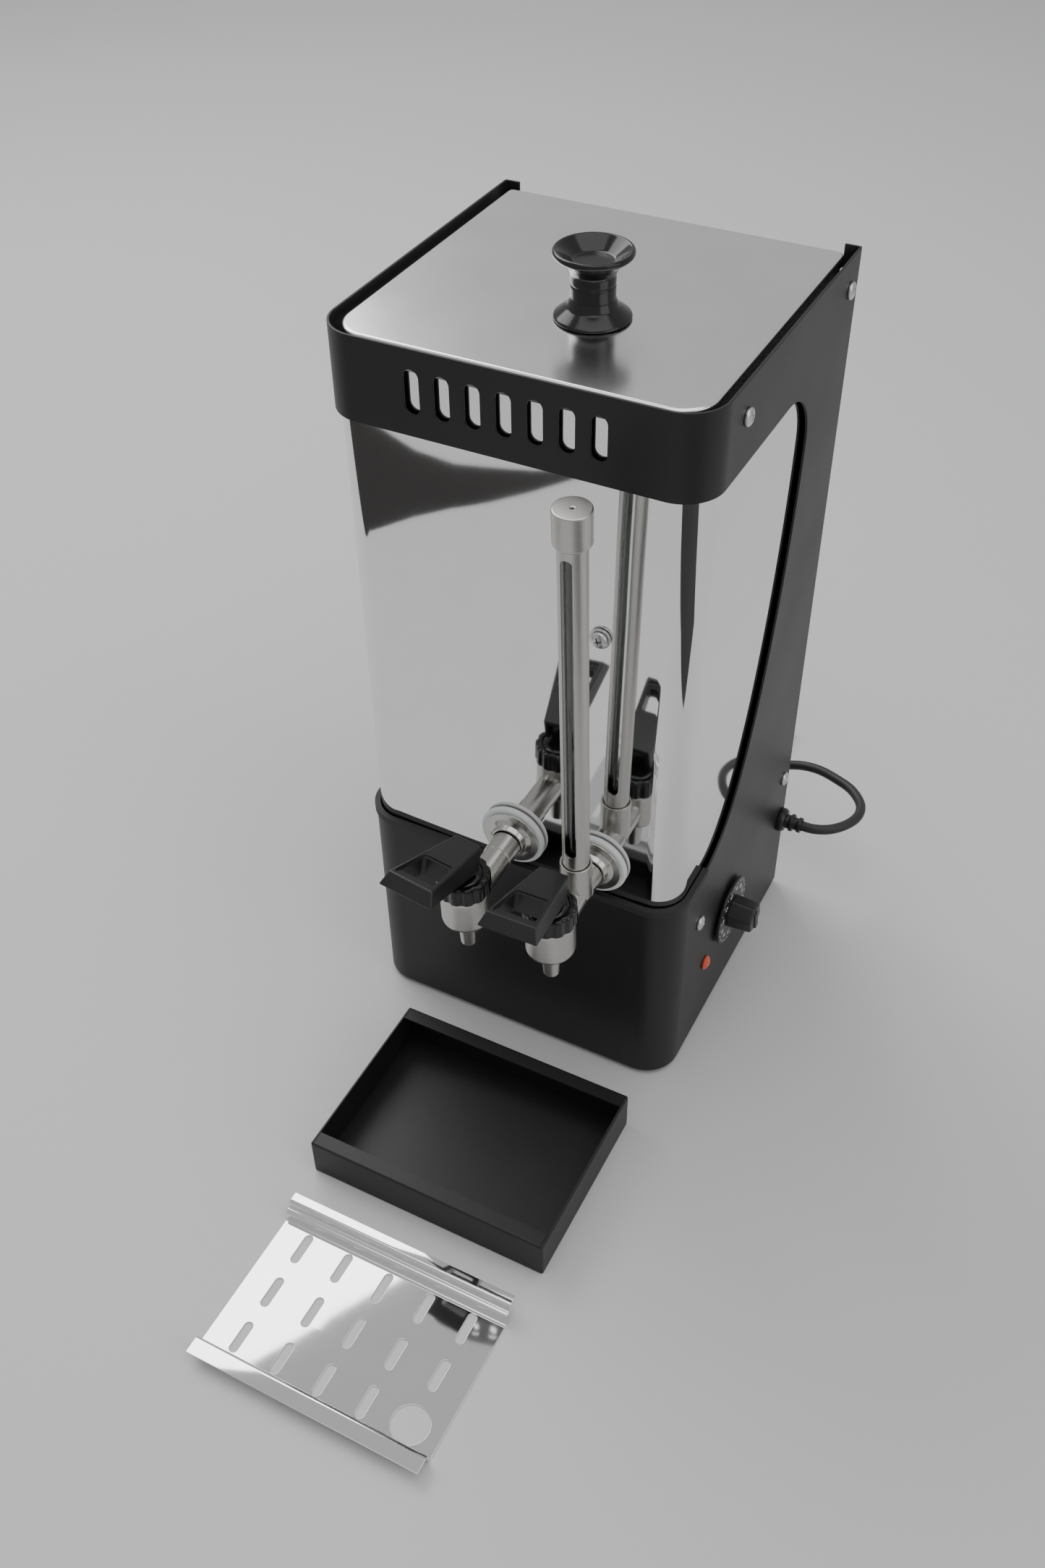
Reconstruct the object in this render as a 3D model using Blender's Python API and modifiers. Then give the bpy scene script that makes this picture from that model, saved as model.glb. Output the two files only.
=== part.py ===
"""Countertop water dispenser: black folded frame round a polished tank, two lever taps, level gauge,
lid, thermostat dial, mains cord, and a drip tray and grille standing in front.

All sizes are metres, +Z up, -Y is the front. The origin is under the middle of the whole arrangement.
"""

import math

import bmesh
import bpy
from mathutils import Matrix, Vector

# ---- clearances and sheet metal ----
GAP = 0.0003                 # air between two pieces that touch
FRAME_SHEET = 0.0015
INNER_SHEET = 0.0012
TANK_SHEET = 0.0010

# ---- frame ----
WIDTH = 0.222
DEPTH = 0.214
HEIGHT = 0.500               # counter to the top of the frame
FOOT_HEIGHT = 0.004          # counter to the frame's lower edge
CORNER_RADIUS = 0.023
REAR_FLANGE = 0.010
WINDOW_LOW = 0.161
WINDOW_TOP_BAND = 0.049      # height of the band above the window
WINDOW_CORNER_RADIUS = 0.038
SIDE_REST = 0.0635           # side sheet left behind the window at its top
WINDOW_SWEEP = 0.0985        # how far forward the window's rear edge runs on its way down
SLOT_COUNT = 7
SLOT_WIDTH = 0.009
SLOT_HEIGHT = 0.025
SLOT_PITCH = 0.0175
SLOT_DROP = 0.0237           # slot centres below the frame's top
TRIM_WALL = 0.0009
TRIM_SKIRT = 0.0042

# ---- inner structure ----
SHELF_Z = 0.128
SHELF_FLANGE = 0.020
RAIL_DROP = 0.015            # strip top below the frame's top
RAIL_HEIGHT = 0.015
FOOT_RADIUS = 0.009
FOOT_INSET = 0.027
HEATER_RADIUS = 0.060
HEATER_HEIGHT = 0.012

# ---- tank ----
TANK_SIDE_GAP = 0.0016       # frame's inner face to tank
TANK_FRONT_GAP = 0.0024
TANK_REAR_GAP = 0.010
TANK_BULGE = 0.0009
TANK_RADIUS = 0.0195
TANK_REAR_RADIUS = 0.016
RIM_INSET = 0.0064           # shoulder under the lid
VESSEL_INSET = 0.0105
VESSEL_FLOOR_RISE = 0.022
LID_DROP = 0.0015            # lid's top face below the frame's top
LID_SIDE_GAP = 0.0055
LID_FRONT_GAP = 0.0033
LID_REAR_GAP = 0.0060
LID_EDGE_RADIUS = 0.0022
LID_HEM = 0.0070
LID_KNOB_X = 0.013
LID_KNOB_Y = -0.032
LID_KNOB_RADIUS = 0.021
LID_KNOB_HEIGHT = 0.0365
LID_KNOB_NECK = 0.0130

# ---- side screws: distances along the panel from the middle, and heights ----
SCREW_HEAD_RADIUS = 0.0050
SCREW_HEAD_HEIGHT = 0.0028
SCREW_SHANK_RADIUS = 0.0024
SCREW_LENGTH = 0.0060
TOP_SCREW_DROP = 0.0195
LOW_SCREW_DROP = 0.0110      # below the shelf
FRONT_SCREW_INSET = 0.045    # from the frame's front
REAR_SCREW_INSET = 0.0145    # from the frame's rear

# ---- thermostat dial and lamp ----
DIAL_Y = -0.0072
DIAL_Z = 0.0780
DIAL_RADIUS = 0.0245
DIAL_STANDOFF = 0.0022
DIAL_THICKNESS = 0.0020
DIAL_KNOB_LENGTH = 0.0180
DIAL_KNOB_RADIUS = 0.0118
SHAFT_RADIUS = 0.0030
SHAFT_LENGTH = 0.0120
LAMP_Y = -0.044
LAMP_Z = 0.060
LAMP_RADIUS = 0.0050

# ---- taps ----
TAP_Z = 0.1865
TAP_LEFT_X = 0.0
TAP_RIGHT_X = 0.0555
TAP_DROOP = math.radians(2.4)
TAP_REACH = 0.0636           # tank wall to the valve's axis
PIPE_RADIUS = 0.0088
PIPE_BORE = 0.0055
PIPE_INSIDE = 0.024
VALVE_RADIUS = 0.0150
VALVE_BOTTOM = -0.0125
VALVE_SHOULDER = 0.0135
VALVE_NECK_TOP = 0.0220
VALVE_NECK_RADIUS = 0.0130
VALVE_BORE = 0.0100
SEAT_Z = -0.0060
SEAT_BORE = 0.0034
SPOUT_TIP = -0.0355
SPOUT_ROOT_RADIUS = 0.0059
SPOUT_TIP_RADIUS = 0.0048
COLLAR_RADIUS = 0.0163
COLLAR_FLUTES = 12
COLLAR_TOP = 0.0267
POST_WIDTH = 0.0120
POST_DEPTH = 0.0110
PIN_FORWARD = 0.0055
PIN_Z = 0.0384
PIN_RADIUS = 0.0015
STEM_RADIUS = 0.0030
STEM_LIFT = 0.0040
SILICONE_RADIUS = 0.0215
SILICONE_THICKNESS = 0.0035
FLARE_RADIUS = 0.0185
FLARE_LENGTH = 0.0060

# ---- levers ----
LEVER_TILT = math.radians(16.0)
LEVER_LEFT_TURN = math.radians(-7.0)
LEVER_RIGHT_TURN = math.radians(0.4)
LEVER_BACK = 0.0108          # pin to the rear edge
LEVER_FRONT = 0.0455         # pin to the top's front edge
LEVER_LIP = 0.0045
LEVER_RISE = 0.0115          # pin to the top face
LEVER_DROP = 0.0060          # pin to the rear edge's lower side
LEVER_LIP_RISE = 0.0029
LEVER_REAR_WIDTH = 0.0184
LEVER_FRONT_WIDTH = 0.0300
LEVER_LIP_WIDTH = 0.0368
LEVER_WINDOW_BACK = 0.0200
LEVER_WINDOW_FRONT = 0.0385

# ---- level gauge on the right tap ----
TEE_FORWARD = 0.0280
TEE_TOP = 0.0270
GUARD_RADIUS = 0.0080
TEE_RADIUS = GUARD_RADIUS + 0.0016
GUARD_WALL = 0.0010
GUARD_SEAT = 0.0125
GAUGE_TOP = 0.2745
GLASS_RADIUS = 0.0050
GLASS_WALL = 0.0011
CAP_RADIUS = GUARD_RADIUS + 0.0023
CAP_HEIGHT = 0.0200
CAP_ROOF = 0.0030
GUARD_SLOT = 0.0070
STAY_Z = 0.356
STAY_X = 0.0550

# ---- strain relief, cord, plug ----
RELIEF_Y_INSET = 0.0098
RELIEF_Z = 0.0735
RELIEF_RADIUS = 0.0088
RELIEF_OUT = 0.0170
RELIEF_IN = 0.0090
CORD_RADIUS = 0.0036
COIL_RADIUS = 0.0400
COIL_X = -0.060
COIL_BACK = 0.1140           # coil centre behind the frame
PLUG_LENGTH = 0.036
PLUG_HALF_WIDTH = 0.017
PLUG_HALF_HEIGHT = 0.0085

# ---- drip tray and grille ----
TRAY_X = 0.0205
TRAY_WIDTH = 0.165
TRAY_LENGTH = 0.124
TRAY_HEIGHT = 0.030
TRAY_WALL = 0.0015
TRAY_FLANGE = 0.010
TRAY_AHEAD = 0.040           # clear counter between the frame and the tray
GRILLE_AHEAD = 0.0265        # clear counter between the tray and the grille
GRILLE_WIDTH = 0.1560
GRILLE_PLATE = 0.0935
GRILLE_SHEET = 0.0009
GRILLE_FRONT_RISE = 0.0085
GRILLE_FRONT_FLANGE = 0.0110
GRILLE_STEP_RISE = 0.0080
GRILLE_STEP = 0.0045
GRILLE_REAR_RISE = 0.0050
GRILLE_REAR_FLANGE = 0.0070
GRILLE_SLOT_WIDTH = 0.0058
GRILLE_SLOT_LENGTH = 0.0210
GRILLE_PITCH_X = 0.0290
GRILLE_PITCH_Y = 0.0325
GRILLE_HOLE_RADIUS = 0.0118

# ---- derived ----
FRONT = -DEPTH / 2
REAR = DEPTH / 2
SIDE = WIDTH / 2
INNER_SIDE = SIDE - FRAME_SHEET - GAP
WINDOW_TOP = HEIGHT - WINDOW_TOP_BAND
WINDOW_REAR = REAR - SIDE_REST
WINDOW_CURVE_END = WINDOW_REAR - WINDOW_SWEEP
BASE_Z = FOOT_HEIGHT + 0.002
PANEL_FRONT = REAR - FRAME_SHEET - GAP - INNER_SHEET
TANK_SIDE = SIDE - FRAME_SHEET - TANK_SIDE_GAP
TANK_FRONT = FRONT + FRAME_SHEET + TANK_FRONT_GAP
TANK_REAR = REAR - FRAME_SHEET - TANK_REAR_GAP
LID_TOP = HEIGHT - LID_DROP
RIM_TOP = LID_TOP - TANK_SHEET - GAP
TANK_LOW = SHELF_Z + GAP
VESSEL_FLOOR = TANK_LOW + VESSEL_FLOOR_RISE
BULGE_RADIUS = (TANK_SIDE - TANK_RADIUS) ** 2 / (2 * TANK_BULGE)
DIAL_FACE = DIAL_STANDOFF + DIAL_THICKNESS
TRAY_REAR = FRONT - TRAY_AHEAD
TRAY_FRONT = TRAY_REAR - TRAY_LENGTH
GRILLE_REAR = TRAY_FRONT - GRILLE_AHEAD
GRILLE_PLATE_REAR = GRILLE_REAR - GRILLE_REAR_FLANGE - GRILLE_STEP
GRILLE_PLATE_FRONT = GRILLE_PLATE_REAR - GRILLE_PLATE
REACH_LEFT = -SIDE - SCREW_HEAD_HEIGHT - GAP
REACH_RIGHT = SIDE + DIAL_FACE + DIAL_KNOB_LENGTH
REACH_FRONT = GRILLE_PLATE_FRONT - GRILLE_FRONT_FLANGE

# ------------------------------------------------------------------ helpers
for old in list(bpy.data.objects):
    bpy.data.objects.remove(old, do_unlink=True)

parts = bpy.data.collections.new("water_dispenser")
cutters = bpy.data.collections.new("cutters")
bpy.context.scene.collection.children.link(parts)
bpy.context.scene.collection.children.link(cutters)


def material(name, colour, roughness, metallic):
    made = bpy.data.materials.new(name)
    made.use_nodes = True
    shader = made.node_tree.nodes["Principled BSDF"]
    shader.inputs["Base Color"].default_value = (*colour, 1.0)
    shader.inputs["Roughness"].default_value = roughness
    shader.inputs["Metallic"].default_value = metallic
    return made


def empty(name, location, parent=None, rotation=(0, 0, 0)):
    made = bpy.data.objects.new(name, None)
    made.location = location
    made.rotation_euler = rotation
    made.parent = parent
    parts.objects.link(made)
    return made


def place(name, mesh, parent, look=None, location=(0, 0, 0), rotation=(0, 0, 0)):
    """Link a mesh as a part, or as a cutter when it has no material."""
    made = bpy.data.objects.new(name, mesh)
    made.location = location
    made.rotation_euler = rotation
    made.parent = parent
    if look is None:
        made.hide_render = True
        made.display_type = "WIRE"
        cutters.objects.link(made)
    else:
        if not mesh.materials:
            mesh.materials.append(look)
        parts.objects.link(made)
    return made


def finish(work, name, smooth=None):
    mesh = bpy.data.meshes.new(name)
    work.to_mesh(mesh)
    work.free()
    if smooth is not None:
        mesh.shade_smooth()
        mesh.set_sharp_from_angle(angle=math.radians(smooth))
    return mesh


def box_mesh(name, size, centre=(0, 0, 0)):
    work = bmesh.new()
    grow = Matrix.Diagonal((*size, 1))
    bmesh.ops.create_cube(work, size=1, matrix=Matrix.Translation(centre) @ grow)
    return finish(work, name)


def rod_mesh(name, radius, low, high, segments=24, axis="Z", top_radius=None, centre=(0, 0)):
    """Cylinder or cone from low to high along an axis, its centre line at the two other coordinates."""
    turn = {"Z": Matrix(), "X": Matrix.Rotation(math.pi / 2, 4, "Y"),
            "Y": Matrix.Rotation(-math.pi / 2, 4, "X")}[axis]
    middle = (low + high) / 2
    spot = {"Z": (centre[0], centre[1], middle), "X": (middle, centre[0], centre[1]),
            "Y": (centre[0], middle, centre[1])}[axis]
    work = bmesh.new()
    bmesh.ops.create_cone(work, cap_ends=True, segments=segments, radius1=radius,
                          radius2=radius if top_radius is None else top_radius, depth=high - low,
                          matrix=Matrix.Translation(spot) @ turn)
    return finish(work, name, smooth=40)


def cut(target, tool, operation="DIFFERENCE"):
    step = target.modifiers.new(tool.name, "BOOLEAN")
    step.operation = operation
    step.solver = "EXACT"
    step.object = tool
    return target


def evaluated_mesh(made, smooth=None):
    """The object's finished mesh; the object itself is removed."""
    bpy.context.view_layer.update()
    graph = bpy.context.evaluated_depsgraph_get()
    mesh = bpy.data.meshes.new_from_object(made.evaluated_get(graph))
    work = bmesh.new()
    work.from_mesh(mesh)
    bmesh.ops.remove_doubles(work, verts=work.verts, dist=0.00001)
    bmesh.ops.recalc_face_normals(work, faces=work.faces)
    name = made.name
    bpy.data.objects.remove(made, do_unlink=True)
    return finish(work, name, smooth)


def turned(name, profile, parent, look=None, steps=24, closed=False, location=(0, 0, 0),
           rotation=(0, 0, 0), smooth=35):
    """Profile of (radius, height) pairs turned about Z: down the outer side, top to bottom."""
    work = bmesh.new()
    spots = [work.verts.new((radius, 0, height)) for radius, height in profile]
    for first, second in zip(spots, spots[1:] + spots[:1] if closed else spots[1:]):
        work.edges.new((first, second))
    made = place(name, finish(work, name), parent, look, location, rotation)
    spin = made.modifiers.new("turn", "SCREW")
    spin.steps = spin.render_steps = steps
    spin.use_merge_vertices = True
    spin.merge_threshold = 0.00001
    spin.use_smooth_shade = True
    if smooth is not None and look is not None:
        made.data.shade_smooth()
    return made


def outline_mesh(name, outlines, thickness, middle=0.0, plane="XY"):
    """Flat plate from closed outlines: the first is its edge, the others are its holes."""
    curve = bpy.data.curves.new(name, "CURVE")
    curve.dimensions = "2D"
    curve.fill_mode = "BOTH"
    curve.extrude = thickness / 2
    for outline in outlines:
        spline = curve.splines.new("POLY")
        spline.points.add(len(outline) - 1)
        for point, (a, b) in zip(spline.points, outline):
            point.co = (a, b, 0, 1)
        spline.use_cyclic_u = True
    made = bpy.data.objects.new(name, curve)
    parts.objects.link(made)
    mesh = evaluated_mesh(made)
    turn = {"XY": Matrix(), "YZ": Matrix(((0, 0, 1, 0), (1, 0, 0, 0), (0, 1, 0, 0), (0, 0, 0, 1))),
            "XZ": Matrix(((1, 0, 0, 0), (0, 0, -1, 0), (0, 1, 0, 0), (0, 0, 0, 1)))}[plane]
    mesh.transform(turn @ Matrix.Translation((0, 0, middle)))
    return mesh


def arc(centre, radius, start, end, count):
    """Points on an arc, angles in degrees."""
    return [(centre[0] + radius * math.cos(math.radians(start + (end - start) * i / count)),
             centre[1] + radius * math.sin(math.radians(start + (end - start) * i / count)))
            for i in range(count + 1)]


def obround(centre, width, length, count=6):
    """Upright slot with round ends."""
    reach = (length - width) / 2
    return (arc((centre[0], centre[1] + reach), width / 2, 0, 180, count)
            + arc((centre[0], centre[1] - reach), width / 2, 180, 360, count))


def loft(name, loops, cap_last=False, closed=True):
    """Open surface through loops of equal length, outermost first, optionally closed at the last."""
    work = bmesh.new()
    rings = [[work.verts.new(point) for point in loop] for loop in loops]
    for upper, lower in zip(rings, rings[1:]):
        count = len(upper)
        for i in range(count if closed else count - 1):
            j = (i + 1) % count
            work.faces.new((upper[i], lower[i], lower[j], upper[j]))
    if cap_last:
        work.faces.new(list(reversed(rings[-1])))
    return finish(work, name)


def solidify(made, thickness, outward=False):
    wall = made.modifiers.new("wall", "SOLIDIFY")
    wall.thickness = thickness
    wall.offset = 1.0 if outward else -1.0
    wall.use_even_offset = True
    return made


def at(points, height):
    return [(x, y, height) for x, y in points]


def soften(made, width, segments=2, limit=35):
    edge = made.modifiers.new("edge", "BEVEL")
    edge.width = width
    edge.segments = segments
    edge.limit_method = "ANGLE"
    edge.angle_limit = math.radians(limit)
    return made


# ------------------------------------------------------------------ materials
BLACK_COAT = material("black_powder_coat", (0.020, 0.020, 0.021), 0.50, 0.0)
BLACK_GLOSS = material("black_gloss_plastic", (0.008, 0.008, 0.009), 0.16, 0.0)
BLACK_SATIN = material("black_satin_plastic", (0.018, 0.018, 0.019), 0.38, 0.0)
RUBBER = material("black_rubber", (0.022, 0.022, 0.023), 0.70, 0.0)
MIRROR = material("polished_stainless", (0.86, 0.86, 0.86), 0.05, 1.0)
BRUSHED = material("brushed_stainless", (0.66, 0.65, 0.63), 0.28, 1.0)
ZINC = material("zinc_plated_steel", (0.55, 0.55, 0.56), 0.35, 1.0)
SILICONE = material("clear_silicone", (0.72, 0.75, 0.75), 0.40, 0.0)
GLASS = material("gauge_glass", (0.80, 0.84, 0.85), 0.05, 0.0)
LAMP = material("orange_lamp", (0.80, 0.10, 0.03), 0.20, 0.0)
CABLE = material("grey_cable", (0.045, 0.045, 0.047), 0.55, 0.0)

middle_x = -(REACH_LEFT + REACH_RIGHT) / 2
middle_y = -(REACH_FRONT + REAR) / 2
root = empty("dispenser", (middle_x, middle_y, 0))


# ------------------------------------------------------------------ frame
def frame_path(offset, rear, flange=0.0):
    """Left rear, round the front, to right rear: the frame's outer line moved out by an offset."""
    side = SIDE + offset
    radius = CORNER_RADIUS + offset
    path = [(-side, rear)]
    path += arc((-side + radius, FRONT + CORNER_RADIUS), radius, 180, 270, 7)
    path += arc((side - radius, FRONT + CORNER_RADIUS), radius, 270, 360, 7)
    path += [(side, rear)]
    if flange:
        path = [(-side + flange, rear)] + path + [(side - flange, rear)]
    return path


def ribbon(name, path, low, high, parent, look, thickness):
    """Upright sheet along an open path, thickened towards the inside."""
    made = place(name, loft(name, [at(path, high), at(path, low)], closed=False), parent, look)
    return solidify(made, thickness)


def bezier(first, second, third, fourth, count):
    points = []
    for i in range(1, count + 1):
        t = i / count
        weights = ((1 - t) ** 3, 3 * t * (1 - t) ** 2, 3 * t * t * (1 - t), t ** 3)
        points.append(tuple(sum(w * p[k] for w, p in zip(weights, (first, second, third, fourth)))
                            for k in (0, 1)))
    return points


frame = ribbon("frame_wrap", frame_path(0, REAR, REAR_FLANGE), FOOT_HEIGHT, HEIGHT, root,
               BLACK_COAT, FRAME_SHEET)
corner_z = WINDOW_TOP - WINDOW_CORNER_RADIUS
window = [(FRONT - 0.02, WINDOW_LOW), (FRONT - 0.02, WINDOW_TOP)]
window += list(reversed(arc((WINDOW_REAR - WINDOW_CORNER_RADIUS, corner_z), WINDOW_CORNER_RADIUS,
                            0, 90, 6)))
window += bezier((WINDOW_REAR, corner_z), (WINDOW_REAR - 0.0025, corner_z - 0.36 * (corner_z - WINDOW_LOW)),
                 (WINDOW_CURVE_END + 0.060, WINDOW_LOW + 0.002), (WINDOW_CURVE_END, WINDOW_LOW), 11)
cut(frame, place("window_cutter", outline_mesh("window_cutter", [window], WIDTH + 0.04, 0, "YZ"), root))
for index in range(SLOT_COUNT):
    slot_x = (index - (SLOT_COUNT - 1) / 2) * SLOT_PITCH
    tool = outline_mesh(f"band_slot_{index}", [obround((slot_x, HEIGHT - SLOT_DROP), SLOT_WIDTH,
                                                       SLOT_HEIGHT, 4)], 0.02, -FRONT, "XZ")
    cut(frame, place(f"band_slot_{index}", tool, root))

trim_grow = TRIM_WALL + GAP
trim_end = WINDOW_CURVE_END - 0.002
trim = ribbon("edge_trim", frame_path(trim_grow, trim_end), WINDOW_LOW - TRIM_SKIRT,
              WINDOW_LOW + TRIM_WALL + GAP, root, RUBBER, FRAME_SHEET + 2 * trim_grow)
groove = ribbon("trim_groove", frame_path(GAP, trim_end + 0.01), WINDOW_LOW - TRIM_SKIRT - 0.01,
                WINDOW_LOW + GAP, root, None, FRAME_SHEET + 2 * GAP)
cut(trim, groove)


def floor_outline(side, front, rear, radius):
    return ([(-side, rear)] + arc((-side + radius, front + radius), radius, 180, 270, 7)
            + arc((side - radius, front + radius), radius, 270, 360, 7) + [(side, rear)])


inner_radius = CORNER_RADIUS - FRAME_SHEET - GAP
place("base_plate", outline_mesh(
    "base_plate", [floor_outline(INNER_SIDE, FRONT + FRAME_SHEET + GAP, PANEL_FRONT - GAP, inner_radius)],
    INNER_SHEET, BASE_Z + INNER_SHEET / 2), root, BLACK_COAT)

panel_low = BASE_Z
panel_high = HEIGHT - RAIL_DROP
panel_outline = [(-INNER_SIDE, panel_low), (INNER_SIDE, panel_low), (INNER_SIDE, panel_high),
                 (-INNER_SIDE, panel_high)]
vents = [list(reversed(obround(((i - 2.5) * 0.020, 0.060), 0.006, 0.034, 3))) for i in range(6)]
place("back_panel", outline_mesh("back_panel", [panel_outline] + vents, INNER_SHEET,
                                 -(PANEL_FRONT + INNER_SHEET / 2), "XZ"), root, BLACK_COAT)

# shelf under the tank: a flat top with both long edges folded down to the side screws
shelf_front = FRONT + CORNER_RADIUS + 0.002
shelf_rear = PANEL_FRONT - 0.0015
fold = [(-INNER_SIDE, SHELF_Z - SHELF_FLANGE), (-INNER_SIDE, SHELF_Z), (INNER_SIDE, SHELF_Z),
        (INNER_SIDE, SHELF_Z - SHELF_FLANGE)]
shelf = place("tank_shelf", loft("tank_shelf", [[(x, shelf_front, z) for x, z in fold],
                                                [(x, shelf_rear, z) for x, z in fold]], closed=False),
              root, ZINC)
solidify(shelf, INNER_SHEET, outward=True)

# tapped strip between frame and tank on each side
rail_z = HEIGHT - RAIL_DROP - RAIL_HEIGHT / 2
rail_sheet = TANK_SIDE_GAP - 2 * GAP
rails = []
for label, hand in (("left", -1), ("right", 1)):
    rails.append(place(f"tank_rail_{label}", box_mesh(
        "rail", (rail_sheet, shelf_rear - shelf_front, RAIL_HEIGHT),
        (hand * (INNER_SIDE - rail_sheet / 2), (shelf_rear + shelf_front) / 2, rail_z)), root, ZINC))

# ------------------------------------------------------------------ side screws
screw_blank = turned("screw_blank", [
    (0, SCREW_HEAD_HEIGHT), (0.72 * SCREW_HEAD_RADIUS, 0.94 * SCREW_HEAD_HEIGHT),
    (SCREW_HEAD_RADIUS, 0.38 * SCREW_HEAD_HEIGHT), (SCREW_HEAD_RADIUS, 0), (SCREW_SHANK_RADIUS, 0),
    (SCREW_SHANK_RADIUS, -SCREW_LENGTH), (0, -SCREW_LENGTH)], None, ZINC, steps=10)
for index, size in enumerate(((0.0052, 0.0011), (0.0011, 0.0052))):
    bar = place(f"recess_{index}", box_mesh(f"recess_{index}", (*size, 0.003),
                                            (0, 0, SCREW_HEAD_HEIGHT + 0.0001)), None)
    cut(screw_blank, bar)
screw_mesh = evaluated_mesh(screw_blank)
screw_mesh.materials.append(ZINC)

screw_spots = {"top_rear": (REAR - REAR_SCREW_INSET, HEIGHT - TOP_SCREW_DROP),
               "top_front": (FRONT + FRONT_SCREW_INSET, HEIGHT - TOP_SCREW_DROP),
               "low_rear": (REAR - REAR_SCREW_INSET, SHELF_Z - LOW_SCREW_DROP),
               "low_front": (FRONT + FRONT_SCREW_INSET, SHELF_Z - LOW_SCREW_DROP)}
for spot, (screw_y, screw_z) in screw_spots.items():
    hole = place(f"screw_hole_{spot}", rod_mesh("screw_hole", SCREW_SHANK_RADIUS + GAP, -SIDE - 0.01,
                                                SIDE + 0.01, 12, "X", centre=(screw_y, screw_z)), root)
    cut(frame, hole)
    if spot.startswith("top"):
        for rail in rails:
            cut(rail, hole)
    else:
        cut(shelf, hole)
    for label, hand in (("left", -1), ("right", 1)):
        place(f"screw_{label}_{spot}", screw_mesh, root, ZINC,
              (hand * (SIDE + GAP), screw_y, screw_z), (0, hand * math.pi / 2, 0))

# ------------------------------------------------------------------ feet
foot_high = BASE_Z - GAP
for label, hand in (("left", -1), ("right", 1)):
    for end, foot_y in (("front", FRONT + FOOT_INSET), ("rear", REAR - FOOT_INSET)):
        turned(f"foot_{label}_{end}", [(0, foot_high), (FOOT_RADIUS, foot_high),
                                       (0.82 * FOOT_RADIUS, 0.0008), (0.72 * FOOT_RADIUS, 0), (0, 0)],
               root, RUBBER, steps=16, location=(hand * (SIDE - FOOT_INSET), foot_y, 0))


# ------------------------------------------------------------------ tank
def tank_outline(inset):
    """Anticlockwise plan of the tank, its front bowed out, moved in by an inset."""
    side = TANK_SIDE - inset
    radius = max(TANK_RADIUS - inset, 0.004)
    rear_radius = max(TANK_REAR_RADIUS - inset, 0.004)
    front = TANK_FRONT + inset
    rear = TANK_REAR - inset
    reach = side - radius
    points = []
    for i in range(1, 8):
        x = -reach + 2 * reach * i / 8
        points.append((x, front - TANK_BULGE * (1 - (x / reach) ** 2)))
    points += arc((reach, front + radius), radius, 270, 360, 5)
    points += arc((side - rear_radius, rear - rear_radius), rear_radius, 0, 90, 3)
    points += arc((-side + rear_radius, rear - rear_radius), rear_radius, 90, 180, 3)
    points += arc((-reach, front + radius), radius, 180, 270, 5)
    return points


rim_under = RIM_TOP - TANK_SHEET - GAP
jacket_loops = [at(tank_outline(RIM_INSET), rim_under), at(tank_outline(RIM_INSET), rim_under - 0.004),
                at(tank_outline(0), rim_under - 0.010), at(tank_outline(0), TANK_LOW)]
jacket = place("tank_jacket", loft("tank_jacket", jacket_loops), root, MIRROR)
solidify(jacket, TANK_SHEET)
screw_y, screw_z = screw_spots["top_front"]
cut(jacket, place("jacket_screw_hole", rod_mesh("jacket_screw_hole", SCREW_SHANK_RADIUS + GAP, -SIDE, SIDE, 12,
                                                "X", centre=(screw_y, screw_z)), root))

vessel_rim = RIM_TOP - TANK_SHEET
vessel_loops = [at(tank_outline(RIM_INSET), vessel_rim), at(tank_outline(VESSEL_INSET - 0.002), vessel_rim),
                at(tank_outline(VESSEL_INSET), vessel_rim - 0.002),
                at(tank_outline(VESSEL_INSET), VESSEL_FLOOR + 0.004),
                at(tank_outline(VESSEL_INSET + 0.004), VESSEL_FLOOR)]
vessel = place("inner_vessel", loft("inner_vessel", vessel_loops, cap_last=True), root, BRUSHED)
solidify(vessel, TANK_SHEET)

turned("heater_plate", [(0, SHELF_Z + GAP + HEATER_HEIGHT), (HEATER_RADIUS, SHELF_Z + GAP + HEATER_HEIGHT),
                        (HEATER_RADIUS, SHELF_Z + GAP), (0, SHELF_Z + GAP)], root, ZINC, steps=24)

# ------------------------------------------------------------------ lid
lid_joint = empty("lid_joint", (0, 0, LID_TOP), root)
lid_side = SIDE - FRAME_SHEET - LID_SIDE_GAP
lid_front = FRONT + FRAME_SHEET + LID_FRONT_GAP
lid_rear = REAR - FRAME_SHEET - LID_REAR_GAP


def lid_outline(inset):
    side, front, rear = lid_side - inset, lid_front + inset, lid_rear - inset
    radius, rear_radius = 0.020 - inset, 0.004 - inset
    return (arc((side - radius, front + radius), radius, 270, 360, 6)
            + arc((side - rear_radius, rear - rear_radius), rear_radius, 0, 90, 2)
            + arc((-side + rear_radius, rear - rear_radius), rear_radius, 90, 180, 2)
            + arc((-side + radius, front + radius), radius, 180, 270, 6))


bend = LID_EDGE_RADIUS
lid_loops = [at(lid_outline(0), -LID_HEM), at(lid_outline(0), -bend),
             at(lid_outline(0.29 * bend), -0.29 * bend), at(lid_outline(bend), 0)]
lid = place("lid_plate", loft("lid_plate", [list(reversed(loop)) for loop in lid_loops], cap_last=True),
            lid_joint, MIRROR)
solidify(lid, TANK_SHEET)
lid_bore = place("lid_bore", rod_mesh("lid_bore", SCREW_SHANK_RADIUS + GAP, -0.02, 0.02, 12), lid_joint,
                 None, (LID_KNOB_X, LID_KNOB_Y, 0))
cut(lid, lid_bore)
skirt = place("lid_skirt", loft("lid_skirt", [at(tank_outline(VESSEL_INSET + 0.003), -TANK_SHEET - GAP),
                                              at(tank_outline(VESSEL_INSET + 0.003), -0.017)]),
              lid_joint, BRUSHED)
solidify(skirt, TANK_SHEET)

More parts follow.
